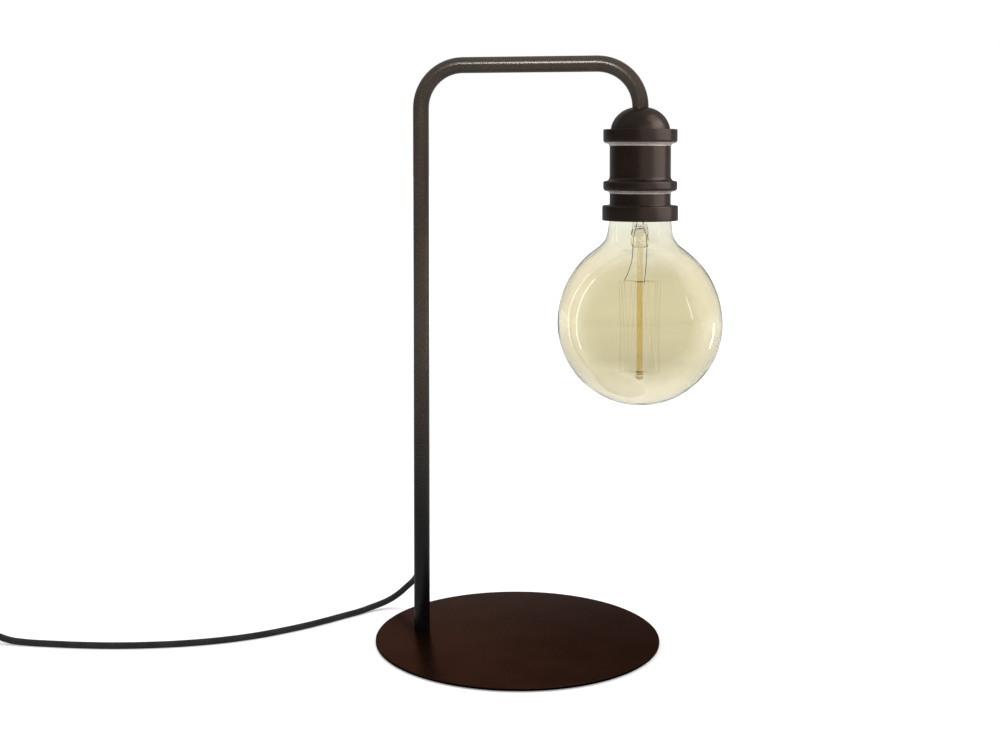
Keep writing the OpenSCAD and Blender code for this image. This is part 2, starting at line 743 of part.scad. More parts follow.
module glass_globe() {
  color("#d8c27a", 0.4) at_globe() rotate_extrude() difference() {
    union() {
      globe_half(0);
      square([inner_neck_r, glass_top_z + glass_lip_h]);
    }
    translate([-eps, 0]) globe_half(glass_t);
    globe_half(glass_t);
    translate([-eps, 0]) square([inner_neck_r - glass_t, glass_top_z + glass_lip_h + 1]);
  }
}
module screw_cap() {
  w = cap_wall;
  color("#b9b6ae") at_head(cap_bot) rotate_extrude() polygon([
    [cap_r + 0.5, 0], [cap_r + 1, 0], [cap_r, 2.2], [cap_r, cap_l - 3], [cap_r - 2, cap_l - 1.4],
    [cap_r - 3, cap_l - 1.4], [cap_r - 3, cap_l - 1.4 - w], [cap_r - 2.2, cap_l - 1.4 - w],
    [cap_r - w, cap_l - 3.2], [cap_r - w, 2.2]
  ]);
}
module cap_insulator() {
  color("#161616") at_head(cap_top - 0.4) {
    cylinder(h = insulator_top - cap_top + 0.4, r1 = cap_r - 3, r2 = 5.6);
    translate([0, 0, -1.2]) cylinder(h = 0.8, r = cap_r - 2.8);
    translate([0, 0, -0.5]) cylinder(h = 0.6, r = cap_r - 3.05);
  }
}
module cap_contact() {
  color("#b9b6ae") at_head(insulator_top) {
    cylinder(h = contact_top - insulator_top - 0.6, r = 4.6);
    translate([0, 0, contact_top - insulator_top - 0.6]) cylinder(h = 0.6, r1 = 4.6, r2 = 3.6);
  }
}

// Inside the bulb
stem_top = glass_top_z + glass_lip_h - 0.6;
pinch_top = pinch_z + pinch_size[2];
flare_r = inner_neck_r - glass_t - 0.2;
flare_h = 9;
lead_az = [141.5, 285.5];
cage_step = 360 / cage_n;
module glass_stem() {
  bend = flare_r - stem_r;
  color("#d9cf9a", 0.5) at_globe() {
    translate([0, 0, pinch_top]) linear_extrude(stem_top - flare_h - pinch_top) difference() {
      circle(stem_r);
      circle(stem_r - stem_wall);
    }
    translate([0, 0, stem_top - flare_h]) rotate_extrude() difference() {
      translate([stem_r - stem_wall, 0]) square([bend + stem_wall, flare_h]);
      translate([flare_r, 0]) scale_circle(bend, flare_h);
      translate([-eps, flare_h]) square([flare_r, 1]);
      flare_bore(bend);
    }
    translate([-pinch_size[0] / 2, -pinch_size[1] / 2, pinch_z]) cube(pinch_size);
  }
}
// The flare's outer hollow and its bore, both as plain slants
module scale_circle(w, h) { polygon([[-w, 0], [eps, 0], [eps, h - 1], [0, h - 1]]); }
module flare_bore(w) {
  x = stem_r - stem_wall;
  polygon([[x - eps, -eps], [x, 0], [x + w - 0.4, flare_h - 0.4], [x + w - 0.4, flare_h + eps],
    [x - eps, flare_h + eps]]);
}
module glass_rod() {
  color("#b3843a", 0.6) at_globe(-lower_z - 1.5)
    cylinder(h = pinch_z + lower_z + 1.5, r = rod_r);
}
module rod_knob() {
  color("#9c6a58") at_globe(-lower_z - 1.5) rotate([180, 0, 0]) rotate_extrude() intersection() {
    translate([0, knob_r * 0.4]) circle(knob_r);
    square([knob_r, knob_r * 1.4]);
  }
}
module lead_wires() {
  $fn = fine_sides;
  half = lead_gap / 2;
  color("#2a2622") at_globe() {
    for (s = [-1, 1]) translate([s * half, 0, pinch_top])
      cylinder(h = cap_top - 1.6 - globe_z - pinch_top, r = lead_r);
    for (i = [0, 1]) let(az = lead_az[i], x = (i - 0.5) * lead_spread)
      lead_to([x, 0, pinch_z], around(az, cage_r - filament_r - lead_r - 0.1, upper_z));
  }
}
module lead_to(a, b) {
  knee = [a[0], a[1], a[2] - 1.5];
  translate(knee) cylinder(h = 1.5, r = lead_r);
  translate(knee) sphere(lead_r + joint_r);
  rod_between(knee, b, lead_r);
  translate(b) sphere(lead_r + joint_r);
}
// A ring on the rod with wires that stand out to the filament
module spider(angles, z) {
  at_globe(z) {
    translate([0, 0, -0.8]) linear_extrude(1.6) difference() {
      circle(rod_r + 0.9);
      circle(rod_r + fit);
    }
    for (az = angles) rotate([0, 0, az]) translate([rod_r + 0.5, 0, 0]) rotate([0, 90, 0])
      cylinder(h = cage_r - filament_r - rod_r - 0.5 - fit, r = support_r);
  }
}
module upper_supports() {
  color("#7d6a55") spider([for (i = [0:cage_n - 1])
    if (i != 0 && i != round((lead_az[1] - lead_az[0]) / cage_step)) lead_az[0] + i * cage_step],
    upper_z);
}
module lower_supports() {
  color("#7d6a55") spider([for (i = [0:cage_n - 1]) lead_az[0] + (i + 0.5) * cage_step], -lower_z);
}
module filament() {
  $fn = fine_sides;
  color("#7a4a22") at_globe() for (i = [0:cage_n - 1]) {
    a = around(lead_az[0] + i * cage_step, cage_r, upper_z);
    b = around(lead_az[0] + (i + 0.5) * cage_step, cage_r, -lower_z);
    c = around(lead_az[0] + (i + 1) * cage_step, cage_r, upper_z);
    rod_between(b, a, filament_r);
    rod_between(b, c, filament_r);
    translate(a) sphere(filament_r + joint_r);
    translate(b) sphere(filament_r + joint_r);
  }
}

// Cord
module cord_run() { color("#1c1c1c") swept(run_route, cord_r, 10); }
module cord_link() { color("#1c1c1c") swept(link_route, cord_r, 10); }
module cord_coil() { color("#1c1c1c") swept(coil_route, cord_r, 6); }
module cord_tail() { color("#1c1c1c") swept(tail_route, cord_r, 10); }
module cord_tie() {
  x = coil_x + coil_d / 2;
  in_x = coil_amp + cord_r + 0.9;
  in_z = coil_low_z - cord_r - 0.2;
  high = coil_low_z + (coil_layers - 1) * coil_step + cord_r + 0.2;
  color("#101010") translate([x, coil_y, 0]) rotate([90, 0, 0]) translate([0, 0, -tie_w / 2])
    linear_extrude(tie_w) difference() {
      translate([-in_x - tie_t, 0]) square([2 * (in_x + tie_t), high + tie_t]);
      translate([-in_x, in_z]) square([2 * in_x, high - in_z]);
    }
}

// Switch
rocker_z = switch_h - 3;
well_l = rocker_l + 1.6;
well_w = rocker_w + 0.6;
module switch_plan() {
  a = switch_l / 2;
  b = switch_w / 2;
  polygon([[-a, -5.5], [-a + 2, -6.5], [-a + 11, -b + 0.6], [-a + 14, -b], [a - 14, -b],
    [a - 11, -b + 0.6], [a - 2, -6.5], [a, -5.5], [a, 5.5], [a - 2, 6.5], [a - 11, b - 0.6],
    [a - 14, b], [-a + 14, b], [-a + 11, b - 0.6], [-a + 2, 6.5], [-a, 5.5]]);
}
module at_switch(z = 0) { translate([switch_x, switch_y, z]) children(); }
module cord_channels() {
  for (s = [-1, 1]) at_switch(switch_split) translate([s * (switch_l / 2 - 6), 0, 0])
    rotate([0, s * 90, 0]) cylinder(h = 8, r = cord_r + fit);
}
module switch_base() {
  color("#161616") difference() {
    at_switch() linear_extrude(switch_split) switch_plan();
    at_switch(switch_split - 4) translate([-well_l / 2, -well_w / 2, 0])
      cube([well_l, well_w, 5]);
    cord_channels();
    at_switch() for (s = [-1, 1]) translate([s * switch_l / 4, s * 8.5, -1]) {
      cylinder(h = 20, r = 1.5 + fit);
      cylinder(h = 3.2, r = 3 + fit);
    }
  }
}
module switch_profile() {
  a = switch_l / 2;
  h = switch_h - switch_split;
  polygon([[-a, 0], [-a, 3.4], [-a + 12, h - 1.2], [-a + 16, h], [a - 16, h], [a - 12, h - 1.2],
    [a, 3.4], [a, 0]]);
}
module switch_cover() {
  color("#161616") difference() {
    intersection() {
      at_switch(switch_split) linear_extrude(switch_h) switch_plan();
      at_switch(switch_split) translate([0, switch_w / 2, 0]) rotate([90, 0, 0])
        linear_extrude(switch_w) switch_profile();
    }
    at_switch(switch_split - 1) translate([-well_l / 2, -well_w / 2, 0])
      cube([well_l, well_w, switch_h]);
    at_switch(rocker_z) translate([0, -well_w / 2 - 2.5, 0]) rotate([-90, 0, 0])
      cylinder(h = well_w + 5, r = rocker_pin_r + fit);
    cord_channels();
    at_switch(switch_split - 1) for (s = [-1, 1]) translate([s * switch_l / 4, s * 8.5, 0])
      cylinder(h = 6.5, r = 1.5 + fit);
  }
}
module switch_rocker() {
  a = rocker_l / 2;
  color("#101010") at_switch(rocker_z) rotate([0, rocker_tilt, 0]) {
    translate([0, rocker_w / 2, 0]) rotate([90, 0, 0]) linear_extrude(rocker_w) polygon([
      [-a, -0.5], [-a, 3.2], [0, 2.2], [a, 3.2], [a, -0.5], [2.5, -3.6], [-2.5, -3.6]
    ]);
    translate([0, -well_w / 2 - 2.2, 0]) rotate([-90, 0, 0])
      cylinder(h = well_w + 4.4, r = rocker_pin_r);
  }
}
module switch_screws() {
  color("#8f8f8c") at_switch() for (s = [-1, 1]) translate([s * switch_l / 4, s * 8.5, 0.4])
    difference() {
      union() {
        cylinder(h = 1.8, r = 3);
        cylinder(h = 12, r = 1.5);
      }
      translate([-0.4, -4, -1]) cube([0.8, 8, 1.8]);
    }
}

// Plug
body_y = plug_y + relief_l;
pins_y = body_y + mains_l;
module at_plug(y) { translate([plug_x, y, plug_z]) rotate([-90, 0, 0]) children(); }
module plug_plan() {
  w = mains_w / 2;
  l = mains_l;
  polygon([[-5.5, 0], [-7.5, 1.5], [-8.5, 10], [-w + 1.5, l - 15], [-w, l - 12], [-w, l - 2.5],
    [-w + 2.5, l], [w - 2.5, l], [w, l - 2.5], [w, l - 12], [w - 1.5, l - 15], [8.5, 10],
    [7.5, 1.5], [5.5, 0]]);
}
module plug_body() {
  color("#161616") translate([plug_x, body_y, 0]) intersection() {
    linear_extrude(mains_t) plug_plan();
    translate([-mains_w / 2, 0, 0]) rotate([90, 0, 90]) linear_extrude(mains_w) polygon([
      [0, 1.2], [1.2, 0], [mains_l - 1.2, 0], [mains_l, 1.2], [mains_l, mains_t - 1.2],
      [mains_l - 1.2, mains_t], [1.2, mains_t], [0, mains_t - 1.2]
    ]);
  }
}
module plug_relief() {
  ribs = 5;
  step = relief_l / (2 * ribs + 1);
  color("#161616") difference() {
    at_plug(plug_y) cylinder(h = relief_l, r1 = cord_r + 0.9, r2 = 5.4);
    for (i = [0:ribs - 1]) at_plug(plug_y + (2 * i + 1) * step) difference() {
      cylinder(h = step, r = 8);
      translate([0, 0, -1]) cylinder(h = step + 2, r = cord_r + 0.4 + 0.2 * i);
    }
  }
}
module at_pins(y) { for (s = [-1, 1]) translate([s * pin_pitch / 2, 0, 0]) at_plug(y) children(); }
module plug_sleeves() {
  color("#161616") at_pins(pins_y) cylinder(h = pin_sleeve_l, r = pin_sleeve_d / 2);
}
module plug_pins() {
  color("#c9a75a") at_pins(pins_y + pin_sleeve_l) {
    cylinder(h = pin_l - pin_sleeve_l - 1, r = pin_d / 2);
    translate([0, 0, pin_l - pin_sleeve_l - 1])
      cylinder(h = 1, r1 = pin_d / 2, r2 = pin_d / 2 - 0.8);
  }
}

echo(coil_least_gap = coil_least_gap);
echo(cord_length = route_length(run_route) + route_length(link_route) + route_length(coil_route)
  + route_length(tail_route) + switch_l - 10);

base_plate();
base_pad();
foot_screw();
foot_plug();
arm_tube();
cord_bush();
core_live();
core_neutral();
tube_tip();
star_washer();
lock_nut();
dome_cap();
collar_ring();
body_sleeve();
bead_ring();
skirt_ring();
holder_cap();
holder_block();
holder_skirt();
screw_shell();
centre_contact();
side_contact();
terminals();
terminal_screws();
glass_globe();
screw_cap();
cap_insulator();
cap_contact();
glass_stem();
glass_rod();
rod_knob();
lead_wires();
upper_supports();
lower_supports();
filament();
cord_run();
cord_link();
cord_coil();
cord_tail();
cord_tie();
switch_base();
switch_cover();
switch_rocker();
switch_screws();
plug_body();
plug_relief();
plug_pins();
plug_sleeves();
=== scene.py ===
"""Arc desk lamp: round base, bent tube, stepped lampholder cover and a large amber globe bulb.

Metres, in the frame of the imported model: +Z up, the arm along +X, the origin on the table under
the middle of the base.
"""
import logging
import math
from dataclasses import dataclass
from enum import Enum
from typing import Sequence

import bmesh
import bpy
from mathutils import Matrix, Vector


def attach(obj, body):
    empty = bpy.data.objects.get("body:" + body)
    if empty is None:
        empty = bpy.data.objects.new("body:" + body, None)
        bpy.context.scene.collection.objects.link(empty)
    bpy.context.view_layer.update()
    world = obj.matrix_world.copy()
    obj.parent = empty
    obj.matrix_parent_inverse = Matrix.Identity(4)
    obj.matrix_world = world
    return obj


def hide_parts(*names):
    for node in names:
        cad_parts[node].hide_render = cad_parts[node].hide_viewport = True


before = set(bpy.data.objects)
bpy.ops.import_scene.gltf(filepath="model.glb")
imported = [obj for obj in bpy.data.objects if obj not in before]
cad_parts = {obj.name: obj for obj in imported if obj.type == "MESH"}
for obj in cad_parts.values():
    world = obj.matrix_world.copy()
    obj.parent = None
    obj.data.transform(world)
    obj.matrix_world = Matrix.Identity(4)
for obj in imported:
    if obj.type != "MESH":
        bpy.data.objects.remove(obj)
log = logging.getLogger("desk_lamp")

Pair = tuple[float, float]
Point = tuple[float, float, float]
Colour = tuple[float, float, float]
Shape = bmesh.types.BMesh
Faces = list[bmesh.types.BMFace]
Socket = bpy.types.NodeSocket

# Metres in a millimetre, the places of the bulb's axis and the upright along X, and the distance
# in metres below which corners are one
MM = 0.001
HEAD_X = 0.094
FOOT_X = -0.076
TOUCH = 1e-6
WHITE = (1.0, 1.0, 1.0)


def rgb(text: str) -> Colour:
    """Turns a hex colour into linear values.

    Args:
        text: Six hexadecimal digits, as in an sRGB colour.

    Returns:
        Linear red, green and blue.
    """
    values = [int(text[i:i + 2], 16) / 255 for i in (0, 2, 4)]
    return tuple(v / 12.92 if v <= 0.04045 else ((v + 0.055) / 1.055) ** 2.4 for v in values)


# Shader groups


class Nodes:
    """A node tree with short ways to add and join its nodes."""

    def __init__(self, tree: bpy.types.NodeTree) -> None:
        """Takes the tree that the nodes go into."""
        self.tree = tree

    def add(self, kind: str, **settings: object) -> bpy.types.Node:
        """Adds a node and sets its properties."""
        node = self.tree.nodes.new(kind)
        for name, value in settings.items():
            setattr(node, name, value)
        return node

    def join(self, source: object, target: Socket) -> None:
        """Joins an output to an input, or sets the input to a value."""
        if isinstance(source, Socket):
            self.tree.links.new(source, target)
        else:
            target.default_value = source

    def fill(self, node: bpy.types.Node, values: dict[str, object]) -> None:
        """Joins or sets several inputs of a node."""
        for name, value in values.items():
            self.join(value, node.inputs[name])

    def split(self, place: Socket) -> bpy.types.bpy_prop_collection:
        """Gives a place's X, Y and Z."""
        node = self.add("ShaderNodeSeparateXYZ")
        self.join(place, node.inputs[0])
        return node.outputs

    def math(self, operation: str, a: object, b: object) -> Socket:
        """Adds a Math node on two sockets or numbers and gives its output."""
        node = self.add("ShaderNodeMath", operation=operation)
        self.join(a, node.inputs[0])
        self.join(b, node.inputs[1])
        return node.outputs[0]

    def plus(self, a: object, b: object) -> Socket:
        """Gives the sum of two sockets or numbers."""
        return self.math("ADD", a, b)

    def less(self, a: object, b: object) -> Socket:
        """Gives the first without the second."""
        return self.math("SUBTRACT", a, b)

    def times(self, a: object, b: object) -> Socket:
        """Gives their product."""
        return self.math("MULTIPLY", a, b)

    def most(self, a: object, b: object) -> Socket:
        """Gives the larger of them."""
        return self.math("MAXIMUM", a, b)

    def ramp(self, value: Socket, low: float, high: float) -> Socket:
        """Maps a value between two limits smoothly onto 0 to 1."""
        node = self.add("ShaderNodeMapRange", interpolation_type="SMOOTHSTEP")
        self.fill(node, {"Value": value, "From Min": low, "From Max": high})
        return node.outputs["Result"]

    def rays(self) -> tuple[Socket, Socket]:
        """Gives how far a ray is seen, also through glass, and how far a surface mirrors it."""
        rays = self.add("ShaderNodeLightPath").outputs
        seen = self.most(rays["Is Camera Ray"], rays["Is Transmission Ray"])
        return seen, self.times(rays["Is Glossy Ray"], self.less(1.0, seen))

    def mix(self, factor: Socket, a: object, b: object) -> Socket:
        """Mixes two colours, given as sockets or values."""
        node = self.add("ShaderNodeMix", data_type="RGBA")
        self.join(factor, node.inputs["Factor"])
        for socket, value in zip((node.inputs[6], node.inputs[7]), (a, b)):
            self.join(value if isinstance(value, Socket) else (*value, 1.0), socket)
        return node.outputs[2]

    def noise(self, place: Socket, scale: object,
              detail: float) -> Socket:
        """Adds a noise and gives its value, from 0 to 1."""
        node = self.add("ShaderNodeTexNoise")
        self.fill(node, {"Vector": place, "Scale": scale, "Detail": detail})
        return node.outputs["Fac"]

    def bump(self, shader: bpy.types.Node, height: Socket, distance: float,
             strength: float) -> None:
        """Makes a shader's surface uneven by a height."""
        node = self.add("ShaderNodeBump")
        self.fill(node, {"Height": height, "Distance": distance, "Strength": strength})
        self.join(node.outputs["Normal"], shader.inputs["Normal"])


def new_material(name: str) -> tuple[bpy.types.Material, Nodes, bpy.types.Node]:
    """Adds a material and gives it with its node tree and its Principled shader."""
    made = bpy.data.materials.new(name)
    made.use_nodes = True
    return made, Nodes(made.node_tree), made.node_tree.nodes["Principled BSDF"]


def new_object(name: str, data: bpy.types.ID) -> bpy.types.Object:
    """Adds an object to the scene, at the origin."""
    made = bpy.data.objects.new(name, data)
    bpy.context.scene.collection.objects.link(made)
    return made


def mottle_group() -> bpy.types.NodeTree:
    """Builds the group that varies a coated or moulded surface, once.

    Returns:
        A group with a scale, a detail scale and a stretch as inputs, and a mottle mask, a fine
        grain mask and a height as outputs.
    """
    name = "surface_mottle"
    if name in bpy.data.node_groups:
        return bpy.data.node_groups[name]
    tree = bpy.data.node_groups.new(name, "ShaderNodeTree")
    face = tree.interface
    for label, value in (("Cloud Scale", 40.0), ("Grain Scale", 1500.0), ("Stretch", 1.0)):
        face.new_socket(label, in_out="INPUT", socket_type="NodeSocketFloat").default_value = value
    for label in ("Cloud", "Grain", "Height"):
        face.new_socket(label, in_out="OUTPUT", socket_type="NodeSocketFloat")
    net = Nodes(tree)
    ins = net.add("NodeGroupInput")
    outs = net.add("NodeGroupOutput")
    place = net.add("ShaderNodeTexCoord").outputs["Object"]
    stretch = net.add("ShaderNodeCombineXYZ")
    net.fill(stretch, {"X": 1.0, "Y": 1.0, "Z": ins.outputs["Stretch"]})
    scaled = net.add("ShaderNodeVectorMath", operation="MULTIPLY")
    net.join(place, scaled.inputs[0])
    net.join(stretch.outputs[0], scaled.inputs[1])
    cloud = net.noise(scaled.outputs[0], ins.outputs["Cloud Scale"], 4.0)
    grain = net.noise(scaled.outputs[0], ins.outputs["Grain Scale"], 2.0)
    net.fill(outs, {"Cloud": net.ramp(cloud, 0.3, 0.7), "Grain": net.ramp(grain, 0.35, 0.65),
                    "Height": grain})
    return tree


# Finishes


@dataclass(frozen=True)
class Finish:
    """A coated, moulded or plain metal surface.

    Attributes:
        name: The material's name.
        slot: The record's material slot. Not used.
        colour: The main colour.
        second: The colour of its clouds and pores.
        roughness: The least and the greatest roughness.
        metallic: How far it is a metal.
        cloud: Scale of the slow variation, per metre.
        grain: Scale of the fine grain, per metre.
        stretch: Stretch of both along Z.
        bump: Height of the grain, in metres.
        coat: Weight of a clear coat.
        edge: Tint of what it mirrors at flat angles, linear.
        foot: A darker colour towards the table, painted shade, where it is given.
        painted_shade_heights: The heights between which that painted shade ends.
    """

    name: str
    slot: str
    colour: str
    second: str
    roughness: Pair
    metallic: float = 0.0
    cloud: float = 40.0
    grain: float = 1500.0
    stretch: float = 1.0
    bump: float = 0.00001
    coat: float = 0.0
    edge: Colour = WHITE
    foot: str = ""
    painted_shade_heights: Pair = (0.06, 0.26)

    def material(self) -> bpy.types.Material:
        """Gives the material, made on its first use."""
        if self.name in bpy.data.materials:
            return bpy.data.materials[self.name]
        made, net, shader = new_material(self.name)
        group = net.add("ShaderNodeGroup", node_tree=mottle_group())
        net.fill(group, {"Cloud Scale": self.cloud, "Grain Scale": self.grain,
                         "Stretch": self.stretch})
        colour = net.mix(group.outputs["Cloud"], rgb(self.colour), rgb(self.second))
        # Painted shade: the colour darkens towards the table.
        if self.foot:
            height = net.split(net.add("ShaderNodeTexCoord").outputs["Object"])["Z"]
            colour = net.mix(net.ramp(height, *self.painted_shade_heights), rgb(self.foot), colour)
        rough = net.add("ShaderNodeMapRange")
        net.fill(rough, {"Value": group.outputs["Grain"], "To Min": self.roughness[0],
                         "To Max": self.roughness[1]})
        net.fill(shader, {"Base Color": colour, "Roughness": rough.outputs["Result"],
                          "Metallic": self.metallic, "Coat Weight": self.coat,
                          "Coat Roughness": 0.2, "Specular Tint": (*self.edge, 1.0)})
        net.bump(shader, group.outputs["Height"], self.bump, 0.6)
        return made


@dataclass(frozen=True)
class GlassFinish:
    """Clear glass, tinted between two heights.

    Attributes:
        name: The material's name.
        slot: The record's material slot. Not used.
        low_tint: The tint below the change.
        high_tint: The tint above the change.
        change: The heights between which the tint changes.
        painted_shade_tint: A darker tint where the glass faces the eye, painted shade.
        face: How far the glass turns away, from 0 to 1, where that tint ends.
        painted_light_tint: A lighter tint at the glass's lowest part, painted light.
        foot: The heights over which that painted light ends.
        roughness: How rough its surface is.
        waviness: Height of the glass's slow waves, in metres.
        ior: Its index of refraction.
        patches: Scale of the tint's unevenness, per metre.
        drift: How far that moves the tint's heights, in metres.
        shade_edge_unevenness: How far noise moves the edge of the painted shade that faces the eye.
    """

    name: str
    slot: str
    low_tint: str
    high_tint: str
    change: Pair = (0.0, 1.0)
    painted_shade_tint: str = ""
    face: Pair = (0.12, 0.5)
    painted_light_tint: str = ""
    foot: Pair = (0.194, 0.214)
    roughness: float = 0.0
    waviness: float = 0.0
    ior: float = 1.5
    patches: float = 45.0
    drift: float = 0.02
    shade_edge_unevenness: float = 0.24

    def material(self) -> bpy.types.Material:
        """Gives the material, made on its first use."""
        if self.name in bpy.data.materials:
            return bpy.data.materials[self.name]
        made, net, shader = new_material(self.name)
        place = net.add("ShaderNodeTexCoord").outputs["Object"]
        noise = net.noise(place, self.patches, 2.0)
        uneven = net.less(noise, 0.5)
        height = net.plus(net.split(place)["Z"], net.times(uneven, self.drift))
        tint = rgb(self.low_tint)
        # Painted shade: a darker tint where the glass faces the eye.
        if self.painted_shade_tint:
            away = net.add("ShaderNodeLayerWeight").outputs["Facing"]
            uneven_facing = net.plus(away, net.times(uneven, self.shade_edge_unevenness))
            tint = net.mix(net.ramp(uneven_facing, *self.face), rgb(self.painted_shade_tint), tint)
        # Painted light: a lighter tint at the glass's bottom.
        if self.painted_light_tint:
            tint = net.mix(net.ramp(height, *self.foot), rgb(self.painted_light_tint), tint)
        tint = net.mix(net.ramp(height, *self.change), tint, rgb(self.high_tint))
        net.fill(shader, {"Base Color": tint, "Transmission Weight": 1.0, "IOR": self.ior,
                          "Roughness": self.roughness})
        if self.waviness:
            net.bump(shader, noise, self.waviness, 1.0)
        return made


class Coat(Enum):
    """The lamp's finishes."""

    # The base plate's rim and the tube's lower part darken towards the table: painted shade.
    BASE = Finish("base_bronze_paint", "base_bronze", "50342a", "462c23", (0.24, 0.3), 0.95, 30.0,
                  2600.0, bump=0.00002, edge=(0.6, 0.5, 0.47), foot="0c0807",
                  painted_shade_heights=(0.0022, 0.0029))
    TUBE = Finish("tube_bronze_paint", "tube_bronze", "433a31", "3d342c", (0.24, 0.28), 0.1, 60.0,
                  2600.0, stretch=0.4, bump=0.000001, foot="080706")
    COVER = Finish("cover_bronze_paint", "cover_bronze", "24170f", "1e130d", (0.28, 0.38), 0.3,
                   70.0, 2200.0, stretch=3.0, bump=0.00002, coat=0.1)
    # Painted highlight: a pale bronze for the hollows under the rings, standing in for their
    # reflection of the bright floor.
    PAINTED_HIGHLIGHT = Finish("worn_bronze_edge", "cover_bronze", "dacbc5", "bdafaa", (0.25, 0.35), 0.6, 60.0,
                  2200.0)
    PAD = Finish("pad_foam", "pad_black", "1b1b1b", "101010", (0.85, 0.95), 0.0, 200.0, 1200.0,
                 bump=0.0002)
    ZINC = Finish("zinc_plated_steel", "zinc_steel", "a9a6a0", "8c8a86", (0.25, 0.42), 1.0, 120.0,
                  900.0, stretch=0.2)
    BUSH = Finish("bush_plastic", "bush_black", "181818", "0f0f0f", (0.45, 0.6), 0.0, 120.0, 2500.0,
                  bump=0.00002)
    CORE_BROWN = Finish("core_brown_sheath", "core_brown", "5b3a1e", "4c2f17", (0.3, 0.4), 0.0,
                        120.0, 2500.0)
    CORE_BLUE = Finish("core_blue_sheath", "core_blue", "23476b", "1c3a59", (0.3, 0.4), 0.0, 120.0,
                       2500.0)
    HOLDER = Finish("holder_moulding", "holder_black", "1d1c1b", "131211", (0.4, 0.55), 0.0, 90.0,
                    1800.0, bump=0.00003)
    CERAMIC = Finish("ceramic_glaze", "ceramic", "e8e2d4", "dcd4c2", (0.12, 0.22), 0.0, 60.0, 900.0,
                     coat=0.4)
    BRASS = Finish("brass_metal", "brass", "c9a75a", "a98642", (0.22, 0.38), 1.0, 150.0, 1600.0,
                   stretch=0.3)
    CAP = Finish("cap_plated_metal", "cap_metal", "c4c1ba", "a5a29b", (0.2, 0.34), 1.0, 150.0,
                 1600.0, stretch=0.3)
    CAP_GLASS = Finish("cap_black_glass", "cap_black", "161616", "0d0d0d", (0.1, 0.2), 0.0, 90.0,
                       1200.0, coat=0.3)
    WIRE = Finish("support_wire", "wire_steel", "d6cdb8", "c2b79f", (0.3, 0.45), 0.2, 300.0, 3000.0,
                  stretch=0.2, bump=0.000005)
    LEAD = Finish("lead_wire", "wire_steel", "4a4238", "383128", (0.3, 0.45), 0.8, 300.0, 3000.0,
                  stretch=0.2, bump=0.000005)
    FILAMENT = Finish("filament_wire", "filament_dark", "e2d6a8", "cfc193", (0.35, 0.5), 0.0, 300.0,
                      3000.0, stretch=0.2, bump=0.000005)
    CORD = Finish("cord_sheath", "cord_black", "242425", "1b1b1c", (0.26, 0.36), 0.0, 90.0, 2500.0,
                  bump=0.00002)
    TIE = Finish("tie_rubber", "tie_black", "121212", "0b0b0b", (0.6, 0.75), 0.0, 150.0, 2500.0,
                 bump=0.00003)
    FITTING = Finish("fitting_plastic", "fitting_black", "181818", "101010", (0.35, 0.5), 0.0,
                     120.0, 2200.0, bump=0.00002)


class Glass(Enum):
    """The bulb's glasses."""

    # The globe's darker tint facing the eye is painted shade; its lighter tint at the bottom is
    # painted light.
    GLOBE = GlassFinish("amber_globe_glass", "amber_glass", "f7f2e4", "e9e8df", (0.285, 0.327),
                        painted_shade_tint="dad5be", painted_light_tint="f9f5e5", waviness=0.0002)
    STEM = GlassFinish("stem_clear_glass", "stem_glass", "ffffff", "ffffff", ior=1.22)
    PINCH = GlassFinish("pinch_glass", "stem_glass", "fffbe8", "fffbe8", roughness=0.03, ior=1.35)
    ROD = GlassFinish("rod_amber_glass", "rod_glass", "f0d69c", "f3ebd2", (0.272, 0.29), ior=1.3)
    KNOB = GlassFinish("knob_rose_glass", "knob_glass", "f2e3d0", "f2e3d0", roughness=0.05)


# Pieces


def add_piece(name: str, bm: Shape, finish: Coat | Glass, body: str,
              nodes: Sequence[str], smooth: float = 35.0) -> bpy.types.Object:
    """Turns a bmesh into a piece of the lamp.

    Args:
        name: The piece's name.
        bm: Its shape, in place. It is freed here.
        finish: Its finish.
        body: The body it rides on.
        nodes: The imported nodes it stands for.
        smooth: Edges sharper than this angle in degrees stay sharp.

    Returns:
        The new object.
    """
    mesh = bpy.data.meshes.new(name)
    for edge in bm.edges:
        edge.smooth = len(edge.link_faces) == 2 and edge.calc_face_angle(0.0) < math.radians(smooth)
    for face in bm.faces:
        face.smooth = True
    bm.to_mesh(mesh)
    bm.free()
    piece = new_object(name, mesh)
    mesh.materials.append(finish.value.material())
    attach(piece, body)
    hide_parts(*nodes)
    log.info("piece %s: %d faces on %s", name, len(mesh.polygons), body)
    return piece


def dress(finish: Coat | Glass, *nodes: str) -> None:
    """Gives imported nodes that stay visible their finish."""
    for name in nodes:
        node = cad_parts[name]
        node.data.materials.clear()
        node.data.materials.append(finish.value.material())
        log.info("node %s: %s", name, finish.value.name)


def arc(cx: float, cz: float, radius: float, start: float, end: float,
        steps: int) -> list[Pair]:
    """Points on an arc of a turned profile, angles in degrees from the +X side."""
    turns = [math.radians(start + (end - start) * i / steps) for i in range(steps + 1)]
    return [(cx + radius * math.cos(turn), cz + radius * math.sin(turn)) for turn in turns]


